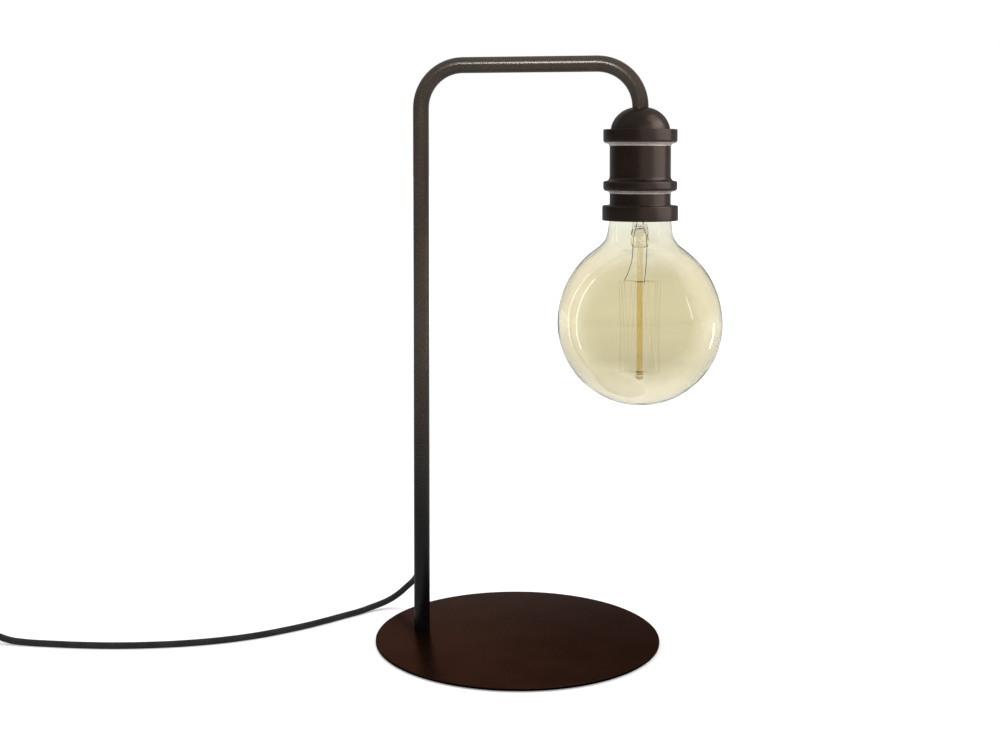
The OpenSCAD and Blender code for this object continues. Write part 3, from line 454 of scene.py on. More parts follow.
def turned(profile: Sequence[Pair], axis: Point = (0.0, 0.0, 0.0),
           steps: int = 96, closed: bool = True) -> Shape:
    """Turns a profile of radius and height round an upright axis.

    Args:
        profile: Radius and height of each corner, in metres.
        axis: A point on the axis; its height is added to the profile's.
        steps: Steps round the axis.
        closed: Whether the profile's last point joins its first.

    Returns:
        The turned shape, merged and with its faces pointing out.
    """
    bm = bmesh.new()
    verts = [bm.verts.new((axis[0] + r, axis[1], axis[2] + z)) for r, z in profile]
    after = verts[1:] + verts[:1] if closed else verts[1:]
    edges = [bm.edges.new(pair) for pair in zip(verts, after)]
    bmesh.ops.spin(bm, geom=verts + edges, cent=axis, axis=(0, 0, 1), angle=math.tau,
                   steps=steps, use_merge=True)
    bmesh.ops.remove_doubles(bm, verts=bm.verts, dist=TOUCH)
    bmesh.ops.recalc_face_normals(bm, faces=bm.faces)
    return bm


def round_rings(bm: Shape, corners: Sequence[tuple[float, float, float]], segments: int) -> None:
    """Rounds chosen circular edges of a shape turned round the origin.

    Args:
        bm: The turned shape.
        corners: Radius, height and rounding of each edge, in metres.
        segments: Segments of each rounding.
    """
    near = 1e-5
    for radius, height, size in corners:
        chosen = []
        for edge in bm.edges:
            spots = [(math.hypot(v.co.x, v.co.y), v.co.z) for v in edge.verts]
            if all(abs(r - radius) < near and abs(z - height) < near for r, z in spots):
                chosen.append(edge)
        bmesh.ops.bevel(bm, geom=chosen, offset=size, segments=segments, profile=0.5,
                        affect="EDGES", material=-1)


def round_curve(name: str, points: Sequence[Point], radius: float, around: int,
                along: int) -> bpy.types.Curve:
    """A round curve with closed ends through points.

    Args:
        name: The curve's name.
        points: Its points, in metres.
        radius: Its radius.
        around: Resolution of its section.
        along: Steps from one point to the next.

    Returns:
        The curve.
    """
    curve = bpy.data.curves.new(name, "CURVE")
    curve.dimensions = "3D"
    curve.bevel_depth = radius
    curve.bevel_resolution = around
    curve.resolution_u = along
    curve.use_fill_caps = True
    spline = curve.splines.new("BEZIER")
    spline.bezier_points.add(len(points) - 1)
    for spot, place in zip(spline.bezier_points, points):
        spot.co = place
        spot.handle_left_type = spot.handle_right_type = "AUTO"
    return curve


def pour(made: Shape, into: Shape) -> None:
    """Adds one bmesh to another and frees it."""
    mesh = bpy.data.meshes.new("part")
    made.to_mesh(mesh)
    made.free()
    into.from_mesh(mesh)
    bpy.data.meshes.remove(mesh)


def tube_mesh(points: Sequence[Point], radius: float) -> Shape:
    """A thin round wire along a path, made through a curve of eight sides."""
    curve = round_curve("wire", points, radius, 1, 8)
    holder = new_object("wire", curve)
    bm = bmesh.new()
    bm.from_mesh(holder.to_mesh())
    holder.to_mesh_clear()
    bpy.data.objects.remove(holder)
    bpy.data.curves.remove(curve)
    bmesh.ops.remove_doubles(bm, verts=bm.verts, dist=1e-7)
    bmesh.ops.recalc_face_normals(bm, faces=bm.faces)
    return bm


def softened(node: str, size: float) -> Shape:
    """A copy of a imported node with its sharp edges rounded.

    Args:
        node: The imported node.
        size: The rounding's width, in metres.

    Returns:
        The rounded copy.
    """
    flat, sharp = math.radians(1.0), math.radians(25.0)
    bm = bmesh.new()
    bm.from_mesh(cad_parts[node].data)
    bmesh.ops.remove_doubles(bm, verts=bm.verts, dist=TOUCH)
    bmesh.ops.dissolve_limit(bm, angle_limit=flat, verts=bm.verts, edges=bm.edges)
    edges = [e for e in bm.edges if len(e.link_faces) == 2 and e.calc_face_angle(0.0) > sharp]
    bmesh.ops.bevel(bm, geom=edges, offset=size, segments=3, profile=0.5, affect="EDGES",
                    clamp_overlap=True, material=-1)
    bmesh.ops.recalc_face_normals(bm, faces=bm.faces)
    return bm


# Camera and studio


@dataclass
class Studio:
    """The camera, the lamps, the white surroundings and the floor.

    Attributes:
        camera_at: Where the camera stands.
        yaw: Its turn to the left, in degrees.
        pitch: Its tilt down, in degrees.
        shift: Its upward shift.
        strips_away: How far the strips hang from the bulb's axis.
        warm: Colour of the boxes that the cover mirrors.
        darkest: How bright the surroundings' darkest part looks in shiny surfaces.
        ambient: How far the surroundings light the lamp.
        floor_reach: Half the floor's side.
        floor_colour: The floor's colour, linear.
        floor_mirrored: Its colour where shiny surfaces show it.
    """

    camera_at: Point = (0.16308, -1.05619, 0.37242)
    yaw: float = 9.503
    pitch: float = 2.246
    shift: float = -0.16
    strips_away: float = 0.45
    warm: Colour = (1.0, 0.84, 0.76)
    darkest: float = 0.03
    ambient: float = 0.45
    floor_reach: float = 30.0
    floor_colour: Colour = (0.8, 0.8, 0.8)
    floor_mirrored: Colour = (0.3, 0.3, 0.3)

    def camera(self) -> None:
        """Sets the camera at the photograph's angle."""
        data = bpy.data.cameras.new("photo_camera")
        data.lens = 50.0
        data.sensor_width = 36.0
        data.shift_y = self.shift
        eye = new_object("photo_camera", data)
        eye.location = self.camera_at
        eye.rotation_euler = (math.radians(90.0 - self.pitch), 0.0, math.radians(self.yaw))
        bpy.context.scene.camera = eye

    def softbox(self, name: str, place: Point, aim: Point, size: Pair, power: float,
                pieces: Sequence[str] = ()) -> bpy.types.Light:
        """Hangs a rectangular lamp that shines at a point.

        Args:
            name: The lamp's name.
            place: Where it hangs.
            aim: The point that it faces.
            size: Its width and height.
            power: Its power in watts.
            pieces: The pieces that mirror it. It then lights nothing else.

        Returns:
            The lamp's light.
        """
        light = bpy.data.lights.new(name, "AREA")
        light.shape = "RECTANGLE"
        light.size, light.size_y = size
        light.energy = power
        lamp = new_object(name, light)
        lamp.location = place
        lamp.rotation_euler = (Vector(aim) - Vector(place)).to_track_quat("-Z", "Y").to_euler()
        lamp.visible_camera = False
        lamp.visible_glossy = bool(pieces)
        lamp.visible_diffuse = not pieces
        lamp.visible_transmission = False
        if pieces:
            chosen = bpy.data.collections.new(f"{name}_pieces")
            for piece in pieces:
                chosen.objects.link(bpy.data.objects[piece])
            lamp.light_linking.receiver_collection = chosen
        return light

    def lamps(self) -> None:
        """Hangs large lamps for the light and the shadow."""
        for name, place, size, power in (
                ("key_box", (1.1, -1.0, 0.95), (0.9, 1.1), 16.0),
                ("fill_box", (-1.3, -0.7, 0.6), (0.7, 1.1), 6.0),
                ("top_box", (0.0, 0.2, 1.9), (1.2, 1.2), 18.0)):
            self.softbox(name, place, (0.02, 0.0, 0.25), size, power)

    def highlights(self) -> None:
        """Hangs the lamps that only the glass, the tube or the cover mirrors."""
        glass = ["bulb_globe", "bulb_stem"]
        cover = ["cover_dome", "cover_upper_ring", "cover_cylinder", "cover_middle_ring",
                 "cover_lower_ring"]
        for name, azimuth, height, size, power in (
                ("left_strip", -88.0, 0.34, (0.025, 0.6), 0.22),
                ("far_left_strip", -107.0, 0.34, (0.015, 0.52), 0.07),
                ("right_strip", 76.0, 0.38, (0.015, 0.2), 0.06),
                ("far_right_strip", 121.0, 0.15, (0.03, 0.15), 0.11)):
            turn = math.radians(azimuth)
            place = (HEAD_X + self.strips_away * math.sin(turn),
                     -self.strips_away * math.cos(turn), height)
            self.softbox(name, place, (HEAD_X, 0.0, height), size, power, glass)
        self.softbox("arm_strip", (-0.03, -0.55, 0.67), (0.0, 0.0, 0.446), (0.26, 0.1), 2.8,
                     ["bent_tube"])
        for name, place, size, power in (
                ("cover_side_box", (0.62, -0.07, 0.5), (0.56, 0.6), 2.7),
                ("cover_front_box", (0.33, -0.42, 0.45), (0.5, 0.5), 0.55),
                ("cover_top_box", (0.6, -0.03, 0.85), (0.5, 0.6), 2.0)):
            light = self.softbox(name, place, (HEAD_X, 0.0, 0.38), size, power, cover)
            light.color = self.warm

    def surroundings(self) -> None:
        """Makes the world white to the eye, with soft bright fields that shiny surfaces show."""
        world = bpy.data.worlds.new("white_studio")
        world.use_nodes = True
        bpy.context.scene.world = world
        net = Nodes(world.node_tree)
        back = world.node_tree.nodes["Background"]
        way = net.split(net.add("ShaderNodeTexCoord").outputs["Generated"])
        low = net.less(1.0, net.ramp(way["Z"], 0.04, 0.22))
        behind = net.times(net.ramp(way["Y"], 0.2, 0.85), 0.3)
        above = net.times(net.ramp(way["Z"], 0.08, 0.35), 0.28)
        leftward = net.less(0.5, net.ramp(way["X"], -0.25, -0.04))
        skew = net.times(leftward, net.ramp(way["Y"], 0.8, 0.92))
        mirrored = net.plus(net.times(above, net.plus(1.0, skew)), net.times(behind, low))
        seen, mirror = net.rays()
        glossy = net.times(mirror, net.plus(mirrored, self.darkest))
        soft = net.times(net.less(1.0, mirror), self.ambient)
        level = net.most(seen, net.plus(glossy, soft))
        net.fill(back, {"Strength": level, "Color": (*WHITE, 1.0)})

    def floor(self) -> None:
        """Lays a pale floor that fades into the white surroundings."""
        bm = bmesh.new()
        bmesh.ops.create_grid(bm, x_segments=2, y_segments=2, size=self.floor_reach)
        mesh = bpy.data.meshes.new("studio_floor")
        bm.to_mesh(mesh)
        bm.free()
        floor = new_object("studio_floor", mesh)
        made, net, shader = new_material("pale_floor")
        place = net.add("ShaderNodeTexCoord").outputs["Object"]
        reach = net.add("ShaderNodeVectorMath", operation="LENGTH")
        net.join(place, reach.inputs[0])
        far = net.ramp(reach.outputs["Value"], 0.5, 2.5)
        lift = net.plus(net.times(far, 0.7), 0.3)
        seen, mirror = net.rays()
        behind = net.times(net.ramp(net.split(place)["Y"], 0.2, 0.9), 0.15)
        level = net.plus(net.times(seen, lift), net.times(mirror, behind))
        colour = net.mix(mirror, self.floor_colour, self.floor_mirrored)
        net.fill(shader, {"Base Color": colour, "Roughness": 0.9, "Specular IOR Level": 0.1,
                          "Emission Strength": level, "Emission Color": (*WHITE, 1.0)})
        mesh.materials.append(made)

    def build(self) -> None:
        """Makes the camera, lamps, world and floor."""
        self.camera()
        self.lamps()
        self.surroundings()
        self.floor()
        bpy.context.scene.view_settings.view_transform = "Standard"


# Cord


@dataclass
class MainsCord:
    """The round mains cord, from the bush through the switch and the coil to the plug.

    Attributes:
        radius: Half its thickness.
        run: The route from the tube to the switch, in millimetres.
        link: The route from the switch to the coil.
        tail: The route from the coil to the plug.
        coil_x: The coil's middle along X.
        switch_y: Where the switch lies along Y, from which the coil starts.
        coil_diameter: The middle diameter of its turns.
        turns: Its turns.
        layers: Its layers.
        step: From one turn to the next.
        low: Height of its lowest turns.
        leaves_at: Where it leaves the tube's bush, in metres. Not used.
        length: Its real length, in metres. Not used.
    """

    radius: float = 0.0025
    run: tuple[Point, ...] = (
        (-76.88, 3.28, 43), (-79.1, 11.59, 43), (-82.06, 22.6, 43), (-84.5, 33, 40.5),
        (-88, 41.5, 36), (-91.5, 48, 30.5), (-96, 53, 24.5), (-102, 56, 18.5),
        (-108.5, 57, 12.5), (-116, 55, 7.5), (-123.5, 51, 4.6), (-130, 45, 3.2),
        (-135.5, 37.5, 2.6), (-146.5, 23.5, 2.5), (-157.5, 9.5, 2.5), (-169.5, -4.5, 2.5),
        (-182, -17, 2.5), (-196, -29.5, 2.5), (-212, -41, 2.5), (-230, -51, 2.5),
        (-250, -59.5, 2.5), (-272, -66.5, 2.5), (-296, -72, 2.5), (-322, -75.5, 2.5),
        (-348, -77, 2.5), (-372, -77.5, 2.7), (-384, -77.5, 3.7), (-395, -77.5, 6.5),
        (-406, -77.5, 8), (-421, -77.5, 8), (-436, -77.5, 8), (-451, -77.5, 8),
        (-466, -77.5, 8))
    link: tuple[Point, ...] = ((-476, -77.5, 7), (-487, -77.5, 4.5), (-497, -77.5, 3.6))
    tail: tuple[Point, ...] = (
        (-532, -18.5, 18.6), (-529.5, -9, 15.5), (-528, 1, 10.5), (-527.2, 10, 7.6),
        (-527, 22, 6.85))
    coil_x: float = -512.0
    switch_y: float = -77.5
    coil_diameter: float = 52.0
    turns: float = 7.333
    layers: int = 4
    step: float = 5.5
    low: float = 3.5
    leaves_at: Point = (-0.08206, 0.0226, 0.043)
    length: float = 1.78

    def coil(self) -> list[Point]:
        """Points of the coil, whose layers spiral in and out at a steady rate."""
        per_layer = self.turns / self.layers
        swing = self.step * per_layer / 2
        outer = self.coil_diameter / 2 + swing
        count = round(self.turns * 24)
        points = []
        for i in range(count + 1):
            turned_by = i * self.turns / count
            layer = math.floor(turned_by / per_layer)
            part = turned_by / per_layer - layer
            reach = outer - 2 * swing * (part if layer % 2 == 0 else 1 - part)
            height = self.low
            for lower in range(1, self.layers):
                climb = min(max((turned_by - lower * per_layer) * 2 + 0.5, 0.0), 1.0)
                height += self.step * climb * climb * (3 - 2 * climb)
            angle = math.radians(-90 - 360 * turned_by)
            points.append((self.coil_x + reach * math.cos(angle),
                           self.switch_y + outer + reach * math.sin(angle), height))
        return points

    def build(self) -> None:
        coil = self.coil()
        start = (coil[0][0] + 2 * self.radius / MM, coil[0][1], coil[0][2])
        route = [*self.run, *self.link, start, *coil, *self.tail]
        curve = round_curve("mains_cord", [Vector(p) * MM for p in route], self.radius, 5, 5)
        cord = new_object("mains_cord", curve)
        curve.materials.append(Coat.CORD.value.material())
        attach(cord, "stand")
        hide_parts("cord_run", "cord_link", "cord_coil", "cord_tail")
        log.info("piece mains_cord: %d points", len(route))


# Base and tube


@dataclass
class Base:
    """The round plate, its pad and the foot's fixings.

    Attributes:
        radius: The plate's radius.
        bottom: Height of its underside.
        top: Height of its upper side.
        rim: Rounding of its upper rim.
        lower_rim: Rounding of its lower rim.
    """

    radius: float = 0.110
    bottom: float = 0.001
    top: float = 0.003
    rim: float = 0.0009
    lower_rim: float = 0.0003

    def build(self) -> None:
        """Turns the plate and dresses the rest."""
        bm = turned([(0.0, self.bottom), (self.radius, self.bottom), (self.radius, self.top),
                     (0.0, self.top)], steps=160, closed=False)
        round_rings(bm, [(self.radius, self.top, self.rim),
                         (self.radius, self.bottom, self.lower_rim)], 4)
        add_piece("base_disc", bm, Coat.BASE, "stand", ["base_plate"])
        dress(Coat.PAD, "base_pad")
        dress(Coat.ZINC, "foot_screw", "foot_plug")


@dataclass
class BentTube:
    """The upright and arm, one tube with two bends.

    Attributes:
        radius: The tube's outer radius.
        bore: Its inner radius.
        bend: Radius of the bends at its middle.
        foot_z: Height of its lower end.
        arm_z: Height of the arm.
        end_z: Height of its other end.
        bend_steps: Steps of each bend.
    """

    radius: float = 0.0062
    bore: float = 0.0045
    bend: float = 0.033
    foot_z: float = 0.003
    arm_z: float = 0.446
    end_z: float = 0.4125
    bend_steps: int = 16

    def build(self) -> None:
        """Extrudes and spins a ring along the tube's path."""
        bm = bmesh.new()
        for r in (self.radius, self.bore):
            bmesh.ops.create_circle(bm, segments=40, radius=r)
        bmesh.ops.bridge_loops(bm, edges=bm.edges)
        bmesh.ops.translate(bm, verts=bm.verts, vec=(FOOT_X, 0, self.foot_z))
        ring = list(bm.faces)
        level = self.arm_z - self.bend
        ring = self.draw(bm, ring, Matrix.Translation((0, 0, level - self.foot_z)))
        ring = self.turn(bm, ring, (FOOT_X + self.bend, 0, level))
        across = HEAD_X - FOOT_X - 2 * self.bend
        ring = self.draw(bm, ring, Matrix.Translation((across, 0, 0)))
        ring = self.turn(bm, ring, (HEAD_X - self.bend, 0, level))
        self.draw(bm, ring, Matrix.Translation((0, 0, self.end_z - level)))
        bmesh.ops.remove_doubles(bm, verts=bm.verts, dist=TOUCH)
        bmesh.ops.recalc_face_normals(bm, faces=bm.faces)
        add_piece("bent_tube", bm, Coat.TUBE, "stand", ["arm_tube"])

    def draw(self, bm: Shape, ring: Faces,
             move: Matrix) -> Faces:
        """Extrudes the tube's end, moves it and gives the new end's faces."""
        made = bmesh.ops.extrude_face_region(bm, geom=ring)
        faces = [g for g in made["geom"] if isinstance(g, bmesh.types.BMFace)]
        verts = [g for g in made["geom"] if isinstance(g, bmesh.types.BMVert)]
        bmesh.ops.transform(bm, verts=verts, matrix=move)
        inside = [f for f in ring if f.is_valid and f not in faces
                  and any(len(e.link_faces) > 2 for e in f.edges)]
        if inside:
            bmesh.ops.delete(bm, geom=inside, context="FACES_ONLY")
        return faces

    def turn(self, bm: Shape, ring: Faces,
             centre: Point) -> Faces:
        """Draws the tube's end through a quarter turn and gives the new end's faces."""
        there = Matrix.Translation(centre)
        step = Matrix.Rotation(math.radians(90 / self.bend_steps), 4, "Y")
        for _ in range(self.bend_steps):
            ring = self.draw(bm, ring, there @ step @ there.inverted())
        return ring


# Lampholder cover


@dataclass
class HolderCover:
    """The turned cover: dome, upper ring, cylinder, middle ring and lower ring.

    Attributes:
        axis: The lampholder's axis on the table.
        painted_highlight_radii: Least and greatest radius of the hollows that carry a painted
            highlight, in millimetres.
        seat: Inner radius of the rings, in millimetres.
        sleeve: Inner and outer radius of the cylinder, in millimetres.
        dome_arc: Radius and height of the middle of the dome's arcs, in millimetres.
    """

    axis: Point = (HEAD_X, 0.0, 0.0)
    painted_highlight_radii: Pair = (23.2, 27.0)
    seat: float = 23.15
    sleeve: Pair = (21.6, 23.1)
    dome_arc: Pair = (3.0175, 393.0)

    def ring(self, name: str, node: str, profile: list[Pair],
             hollow: Pair = (0.0, 0.0)) -> None:
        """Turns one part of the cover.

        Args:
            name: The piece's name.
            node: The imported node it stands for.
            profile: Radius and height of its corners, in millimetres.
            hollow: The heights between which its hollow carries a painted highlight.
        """
        bm = turned([(r * MM, z * MM) for r, z in profile], self.axis)
        # Faces in the hollow take the second material, a painted highlight.
        for face in bm.faces:
            spot = face.calc_center_median()
            reach = math.hypot(spot.x - self.axis[0], spot.y - self.axis[1]) / MM
            inside = self.painted_highlight_radii[0] < reach < self.painted_highlight_radii[1]
            face.material_index = 1 if inside and hollow[0] < spot.z / MM < hollow[1] else 0
        piece = add_piece(name, bm, Coat.COVER, "stand", [node])
        if hollow[1]:
            piece.data.materials.append(Coat.PAINTED_HIGHLIGHT.value.material())

    def build(self) -> None:
        """Turns the five parts."""
        outer = arc(*self.dome_arc, 19.7325, 0, 81.3, 18)
        inner = arc(*self.dome_arc, 18.5325, 70.8, 0, 14)
        self.ring("cover_dome", "dome_cap", [*outer, (5.05, 412.5), (5.05, 410.5), *inner])
        seat = self.seat
        self.ring("cover_upper_ring", "collar_ring",
                  [(seat, 383.5), *arc(25.2, 383.5, 1.9, 180, 90, 6),
                   *arc(25.2, 388.2, 2.8, -90, 0, 8), *arc(27.5, 395.5, 0.5, 0, 90, 4),
                   (22.8, 396), (22.8, 393), (seat, 393)], (383.5, 387.2))
        within, outside = self.sleeve
        self.ring("cover_cylinder", "body_sleeve",
                  [(within, 336), (outside, 336), (outside, 393), (within, 393)])
        self.ring("cover_middle_ring", "bead_ring",
                  [(seat, 347.5), *arc(24.8, 347.5, 1.5, 180, 90, 6),
                   *arc(25, 352, 3, -90, 0, 8), *arc(26.5, 355.5, 1.5, 0, 90, 6),
                   *arc(26.3, 360, 3, 270, 180, 8), (seat, 360)], (347.5, 350.0))
        self.ring("cover_lower_ring", "skirt_ring",
                  [(25.4, 327), *arc(28.2, 327.5, 0.5, -90, 0, 4),
                   *arc(27.5, 337.3, 1.2, 0, 90, 6), *arc(24.3, 339.5, 1, 270, 180, 6),
                   (seat, 339.5), (seat, 336), (25.4, 336)])


@dataclass
class Lampholder:
    """The lampholder inside the cover, and the cores that feed it."""

    def build(self) -> None:
        """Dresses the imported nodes."""
        dress(Coat.BUSH, "cord_bush")
        dress(Coat.CORE_BROWN, "core_live")
        dress(Coat.CORE_BLUE, "core_neutral")
        dress(Coat.ZINC, "tube_tip", "star_washer", "lock_nut", "terminal_screws")
        dress(Coat.HOLDER, "holder_cap", "holder_skirt")
        dress(Coat.CERAMIC, "holder_block")
        dress(Coat.BRASS, "screw_shell", "centre_contact", "side_contact", "terminals")


# Bulb


@dataclass
class GlobeBulb:
    """The globe bulb with its stem, rod, wires and filament.

    Attributes:
        centre: The middle of the globe.
        radius: The globe's radius, in millimetres.
        wall: Thickness of the glass, in millimetres.
    """

    centre: Point = (HEAD_X, 0.0, 0.2493)
    radius: float = 62.5
    wall: float = 0.9

    def skin(self, inset: float) -> list[Pair]:
        """The glass's profile from the bottom up, moved in by an inset."""
        flank_x = -6.0
        hollow_x, hollow_z, hollow_r = 41.4, 71.16, 17.0
        shoulder_x, shoulder_z, shoulder_r = 12.4, 79.5, 10.8
        reach = math.degrees(math.atan2(hollow_z, hollow_x - flank_x))
        ball = arc(0, 0, self.radius - inset, -90, 0, 22)
        flank = arc(flank_x, 0, self.radius - flank_x - inset, 0, reach, 18)[1:]
        hollow = arc(hollow_x, hollow_z, hollow_r + inset, 180 + reach, 180, 10)[1:]
        shoulder = arc(shoulder_x, shoulder_z, shoulder_r - inset, 0, 82 if inset == 0 else 78, 10)
        return [*ball, *flank, *hollow, *shoulder]

    def globe(self) -> None:
        """Turns the glass as one shell, open at the neck's top."""
        outer = self.skin(0.0)
        inner = self.skin(self.wall)
        profile = [*outer, (12.4, 89.7), (12.4, 93.7), (11.5, 93.7), (11.5, 88.8),
                   *reversed(inner)]
        bm = turned([(max(r, 0.0) * MM, z * MM) for r, z in profile], self.centre, 128,
                    closed=False)
        add_piece("bulb_globe", bm, Glass.GLOBE, "bulb", ["glass_globe"], 60.0)

    def at(self, azimuth: float, radius: float, height: float) -> Point:
        """A point in metres, given round the globe's middle in degrees and millimetres."""
        turn = math.radians(azimuth)
        return (self.centre[0] + radius * MM * math.cos(turn), radius * MM * math.sin(turn),
                self.centre[2] + height * MM)

    def build(self) -> None:
        """Makes the bulb."""
        self.globe()
        dress(Coat.CAP, "screw_cap", "cap_contact")
        dress(Coat.CAP_GLASS, "cap_insulator")
        dress(Glass.ROD, "glass_rod")
        dress(Glass.KNOB, "rod_knob")


@dataclass
class BulbInside(GlobeBulb):
    """What is held inside the globe: stem, lead wires, supports and filament.

    Attributes:
        first_lead: Azimuth of the first lead wire's end, in degrees.
        second_lead: Azimuth of the second one's.
        cage_radius: Radius of the filament's cage, in millimetres.
        upper: Height of the upper supports above the globe's middle.
        lower: Height of the lower supports.
        loops: Loops of the filament.
        pinch: Heights of the pinch's lower and upper end.
        pinch_size: Its width and thickness.
        stem_top: Height of the stem's flare.
        stem_radius: Radius of the stem's tube.
        rod_radius: Radius of the glass rod.
        collar_gap: From the rod to the collars that hold the supports.
        collar_wall: Thickness of those collars.
        collar_half: Half their height.
        lead_wire: Radius of the lead wires, in metres.
        support_wire: Radius of the supports, in metres.
        filament_wire: Radius of the filament, in metres.
        drawn_in: Part of the way to the axis by which the filament hangs inside its cage.
        pressed: How far the tongs leave the pinch uneven.
    """

    first_lead: float = 141.5
    second_lead: float = 285.5
    cage_radius: float = 16.0
    upper: float = 31.0
    lower: float = -38.0
    loops: int = 10
    pinch: Pair = (56.5, 71.0)
    pinch_size: Pair = (13.4, 5.2)
    stem_top: float = 91.6
    stem_radius: float = 5.6
    rod_radius: float = 2.3
    collar_gap: float = 0.05
    collar_wall: float = 0.3
    collar_half: float = 0.4
    lead_wire: float = 0.00025
    support_wire: float = 0.00006
    filament_wire: float = 0.00004
    drawn_in: float = 0.04
    pressed: float = 0.5

    def stem(self) -> None:
        """Draws the stem down from its flare to the flat pinch, as one skin with a bore."""
        bm = bmesh.new()
        top = self.stem_top
        wide, deep = (size / 2 for size in self.pinch_size)
        low, high = self.pinch
        outer = [(top, 11.0, 11.0), (top - 2, 9.0, 9.0), (top - 6, 6.6, 6.6),
                 (top - 9, self.stem_radius, self.stem_radius), (high + 4.5, 5.6, 5.6),
                 (high + 2, 5.8, 5.0), (high, 6.2, 3.6), (high - 3, wide, deep),
                 (high - 6, wide - 0.5, deep - 0.5), (high - 9, wide, deep),
                 (low + 2.5, wide - 0.3, deep - 0.2), (low + 0.7, wide - 0.6, deep - 0.6),
                 (low, wide - 1.6, deep - 1.2)]
        inner = [(top, 10.2, 10.2), (top - 2.2, 8.2, 8.2), (top - 6.2, 5.7, 5.7),
                 (top - 9, 4.7, 4.7), (high + 4.5, 4.7, 4.7), (high + 2.6, 4.3, 3.4),
                 (high + 1.4, 3.2, 1.6)]
        self.loft(bm, [*reversed(inner), *outer])
        edge = self.centre[2] + (high - 1.0) * MM
        for face in bm.faces:
            face.material_index = 1 if face.calc_center_median().z < edge else 0
        piece = add_piece("bulb_stem", bm, Glass.STEM, "bulb", ["glass_stem"], 12.0)
        piece.data.materials.append(Glass.PINCH.value.material())

    def loft(self, bm: Shape, rings: list[tuple[float, float, float]]) -> None:
        """Joins oval rings, given by height and half widths, and closes both ends.

        Rings below the pinch's upper end are pressed unevenly, as the tongs leave them.
        """
        steps = 28
        loops = []
        for number, (height, wide, deep) in enumerate(rings):
            uneven = self.pressed if height < self.pinch[1] - 2 else 0.0
            loop = []
            for i in range(steps):
                turn = math.tau * i / steps
                press = uneven * math.sin(5.3 * i + 2.1 * number)
                loop.append(bm.verts.new((self.centre[0] + (wide + press) * MM * math.cos(turn),
                                          (deep + press) * MM * math.sin(turn),
                                          self.centre[2] + (height + press * 0.6) * MM)))
            loops.append(loop)
        for low, high in zip(loops, loops[1:]):
            for i in range(steps):
                bm.faces.new((low[i], low[(i + 1) % steps], high[(i + 1) % steps], high[i]))
        bm.faces.new(loops[0])
        bm.faces.new(loops[-1])
        bmesh.ops.recalc_face_normals(bm, faces=bm.faces)

    def wires(self, name: str, node: str, finish: Coat, paths: list[list[Point]],
              radius: float, collars: Sequence[float] = ()) -> None:
        """Makes thin wires along paths, with collars round the rod at given heights."""
        bm = bmesh.new()
        for path in paths:
            pour(tube_mesh(path, radius), bm)
        bore = self.rod_radius + self.collar_gap
        outside = bore + self.collar_wall
        for height in collars:
            low, high = height - self.collar_half, height + self.collar_half
            ring = [(bore, low), (outside, low), (outside, high), (bore, high)]
            pour(turned([(r * MM, z * MM) for r, z in ring], self.centre, 32), bm)
        add_piece(name, bm, finish, "bulb", [node])

    def leads(self) -> list[list[Point]]:
        """Paths of the lead wires, from the cap through the stem to the filament."""
        x, _, z = self.centre
        inside = ((2.35, 97.0), (2.35, 85.0), (2.6, 74.0), (4.4, 66.0), (5.2, self.pinch[0]))
        paths = []
        for side, azimuth in ((-1, self.first_lead), (1, self.second_lead)):
            end = Vector(self.at(azimuth, self.cage_radius, self.upper))
            path = [Vector((x + side * apart * MM, 0.0, z + height * MM))
                    for apart, height in inside]
            start = path[-1]
            for part, drop in ((0.1, 8.0), (0.5, 18.0)):
                spot = start.lerp(end, part)
                spot.z = start.z - drop * MM
                path.append(spot)
            paths.append([*path, end])
        return paths

    def build(self) -> None:
        """Makes the stem and the thin wires."""
        self.stem()
        self.wires("bulb_leads", "lead_wires", Coat.LEAD, self.leads(), self.lead_wire)
        step = 360 / self.loops
        tops = [self.first_lead + i * step for i in range(self.loops)]
        lows = [a + step / 2 for a in tops]
        for name, angles, height in (("upper", tops, self.upper), ("lower", lows, self.lower)):
            self.wires(f"bulb_{name}_supports", f"{name}_supports", Coat.WIRE,
                       [[self.at(a, self.rod_radius + 0.2, height),
                         self.at(a, 9.0, height + 0.5), self.at(a, self.cage_radius, height)]
                        for a in angles], self.support_wire, [height])
        hooks = []
        for top, low in zip(tops, lows):
            hooks += [self.at(top, self.cage_radius, self.upper),
                      self.at(low, self.cage_radius, self.lower)]
        hooks.append(hooks[0])
        self.wires("bulb_filament", "filament", Coat.FILAMENT,
                   [[a, self.slack(a, b, 0.3), self.slack(a, b, 0.7), b]
                    for a, b in zip(hooks, hooks[1:])], self.filament_wire)

    def slack(self, a: Point, b: Point, part: float) -> Point:
        """A point part of the way from one hook to the next, a little inside the cage."""
        spot = Vector(a).lerp(Vector(b), part)
        spot.x += (self.centre[0] - spot.x) * self.drawn_in
        spot.y *= 1 - self.drawn_in
        return tuple(spot)


# Switch and plug


@dataclass
class InlineSwitch:
    """The switch on the cord.

    Attributes:
        rounding: Rounding of its edges, in metres.
    """

    rounding: float = 0.0008

    def build(self) -> None:
        """Rounds and dresses its parts."""
        for node, body in (("switch_base", "stand"), ("switch_cover", "stand"),
                           ("switch_rocker", "rocker")):
            add_piece(f"soft_{node}", softened(node, self.rounding), Coat.FITTING, body, [node])
        dress(Coat.ZINC, "switch_screws")


@dataclass
class MainsPlug:
    """The flat two-pin plug and the strap round the coil.

    Attributes:
        rounding: Rounding of the plug's edges, in metres.
    """

    rounding: float = 0.0012

    def build(self) -> None:
        """Rounds and dresses its parts."""
        add_piece("soft_plug_body", softened("plug_body", self.rounding), Coat.FITTING, "stand",
                  ["plug_body"])
        dress(Coat.FITTING, "plug_relief", "plug_sleeves")
        dress(Coat.BRASS, "plug_pins")
        dress(Coat.TIE, "cord_tie")


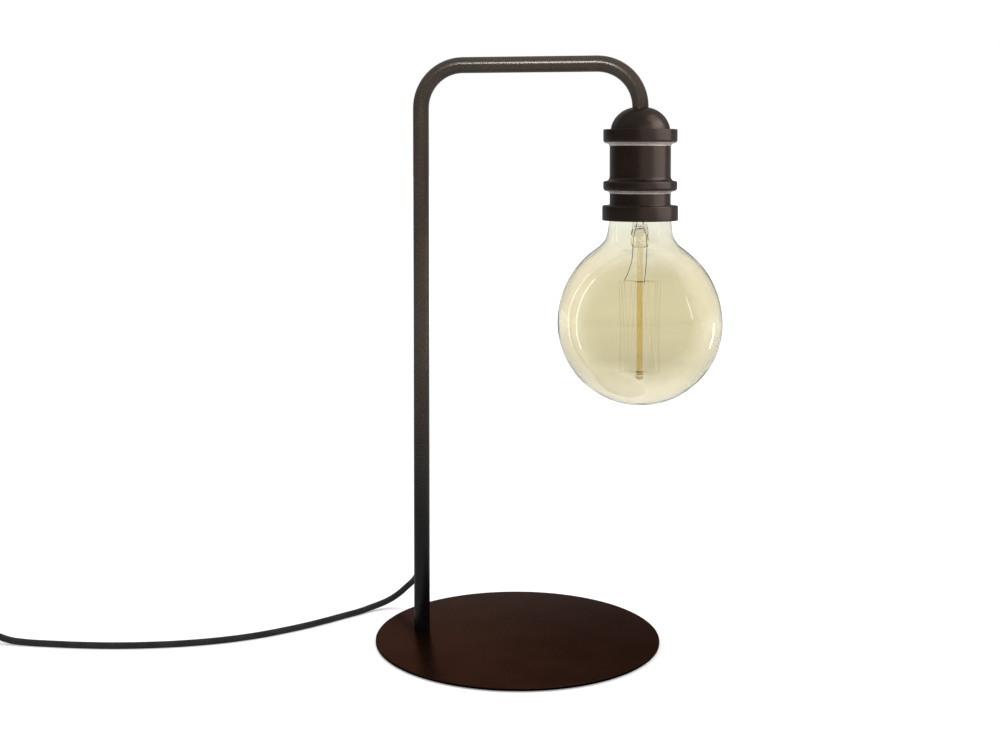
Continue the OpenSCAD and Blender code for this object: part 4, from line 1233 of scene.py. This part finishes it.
def main() -> None:
    """Builds the studio, the cord and the lamp in order."""
    logging.basicConfig(level=logging.INFO, format="%(message)s")
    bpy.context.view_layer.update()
    studio = Studio()
    for part in (studio, MainsCord(), Base(), BentTube(), HolderCover(), Lampholder(),
                 GlobeBulb(), BulbInside(), InlineSwitch(), MainsPlug()):
        part.build()
        log.info("built %s", type(part).__name__)
    studio.highlights()


if __name__ == "__main__":
    main()
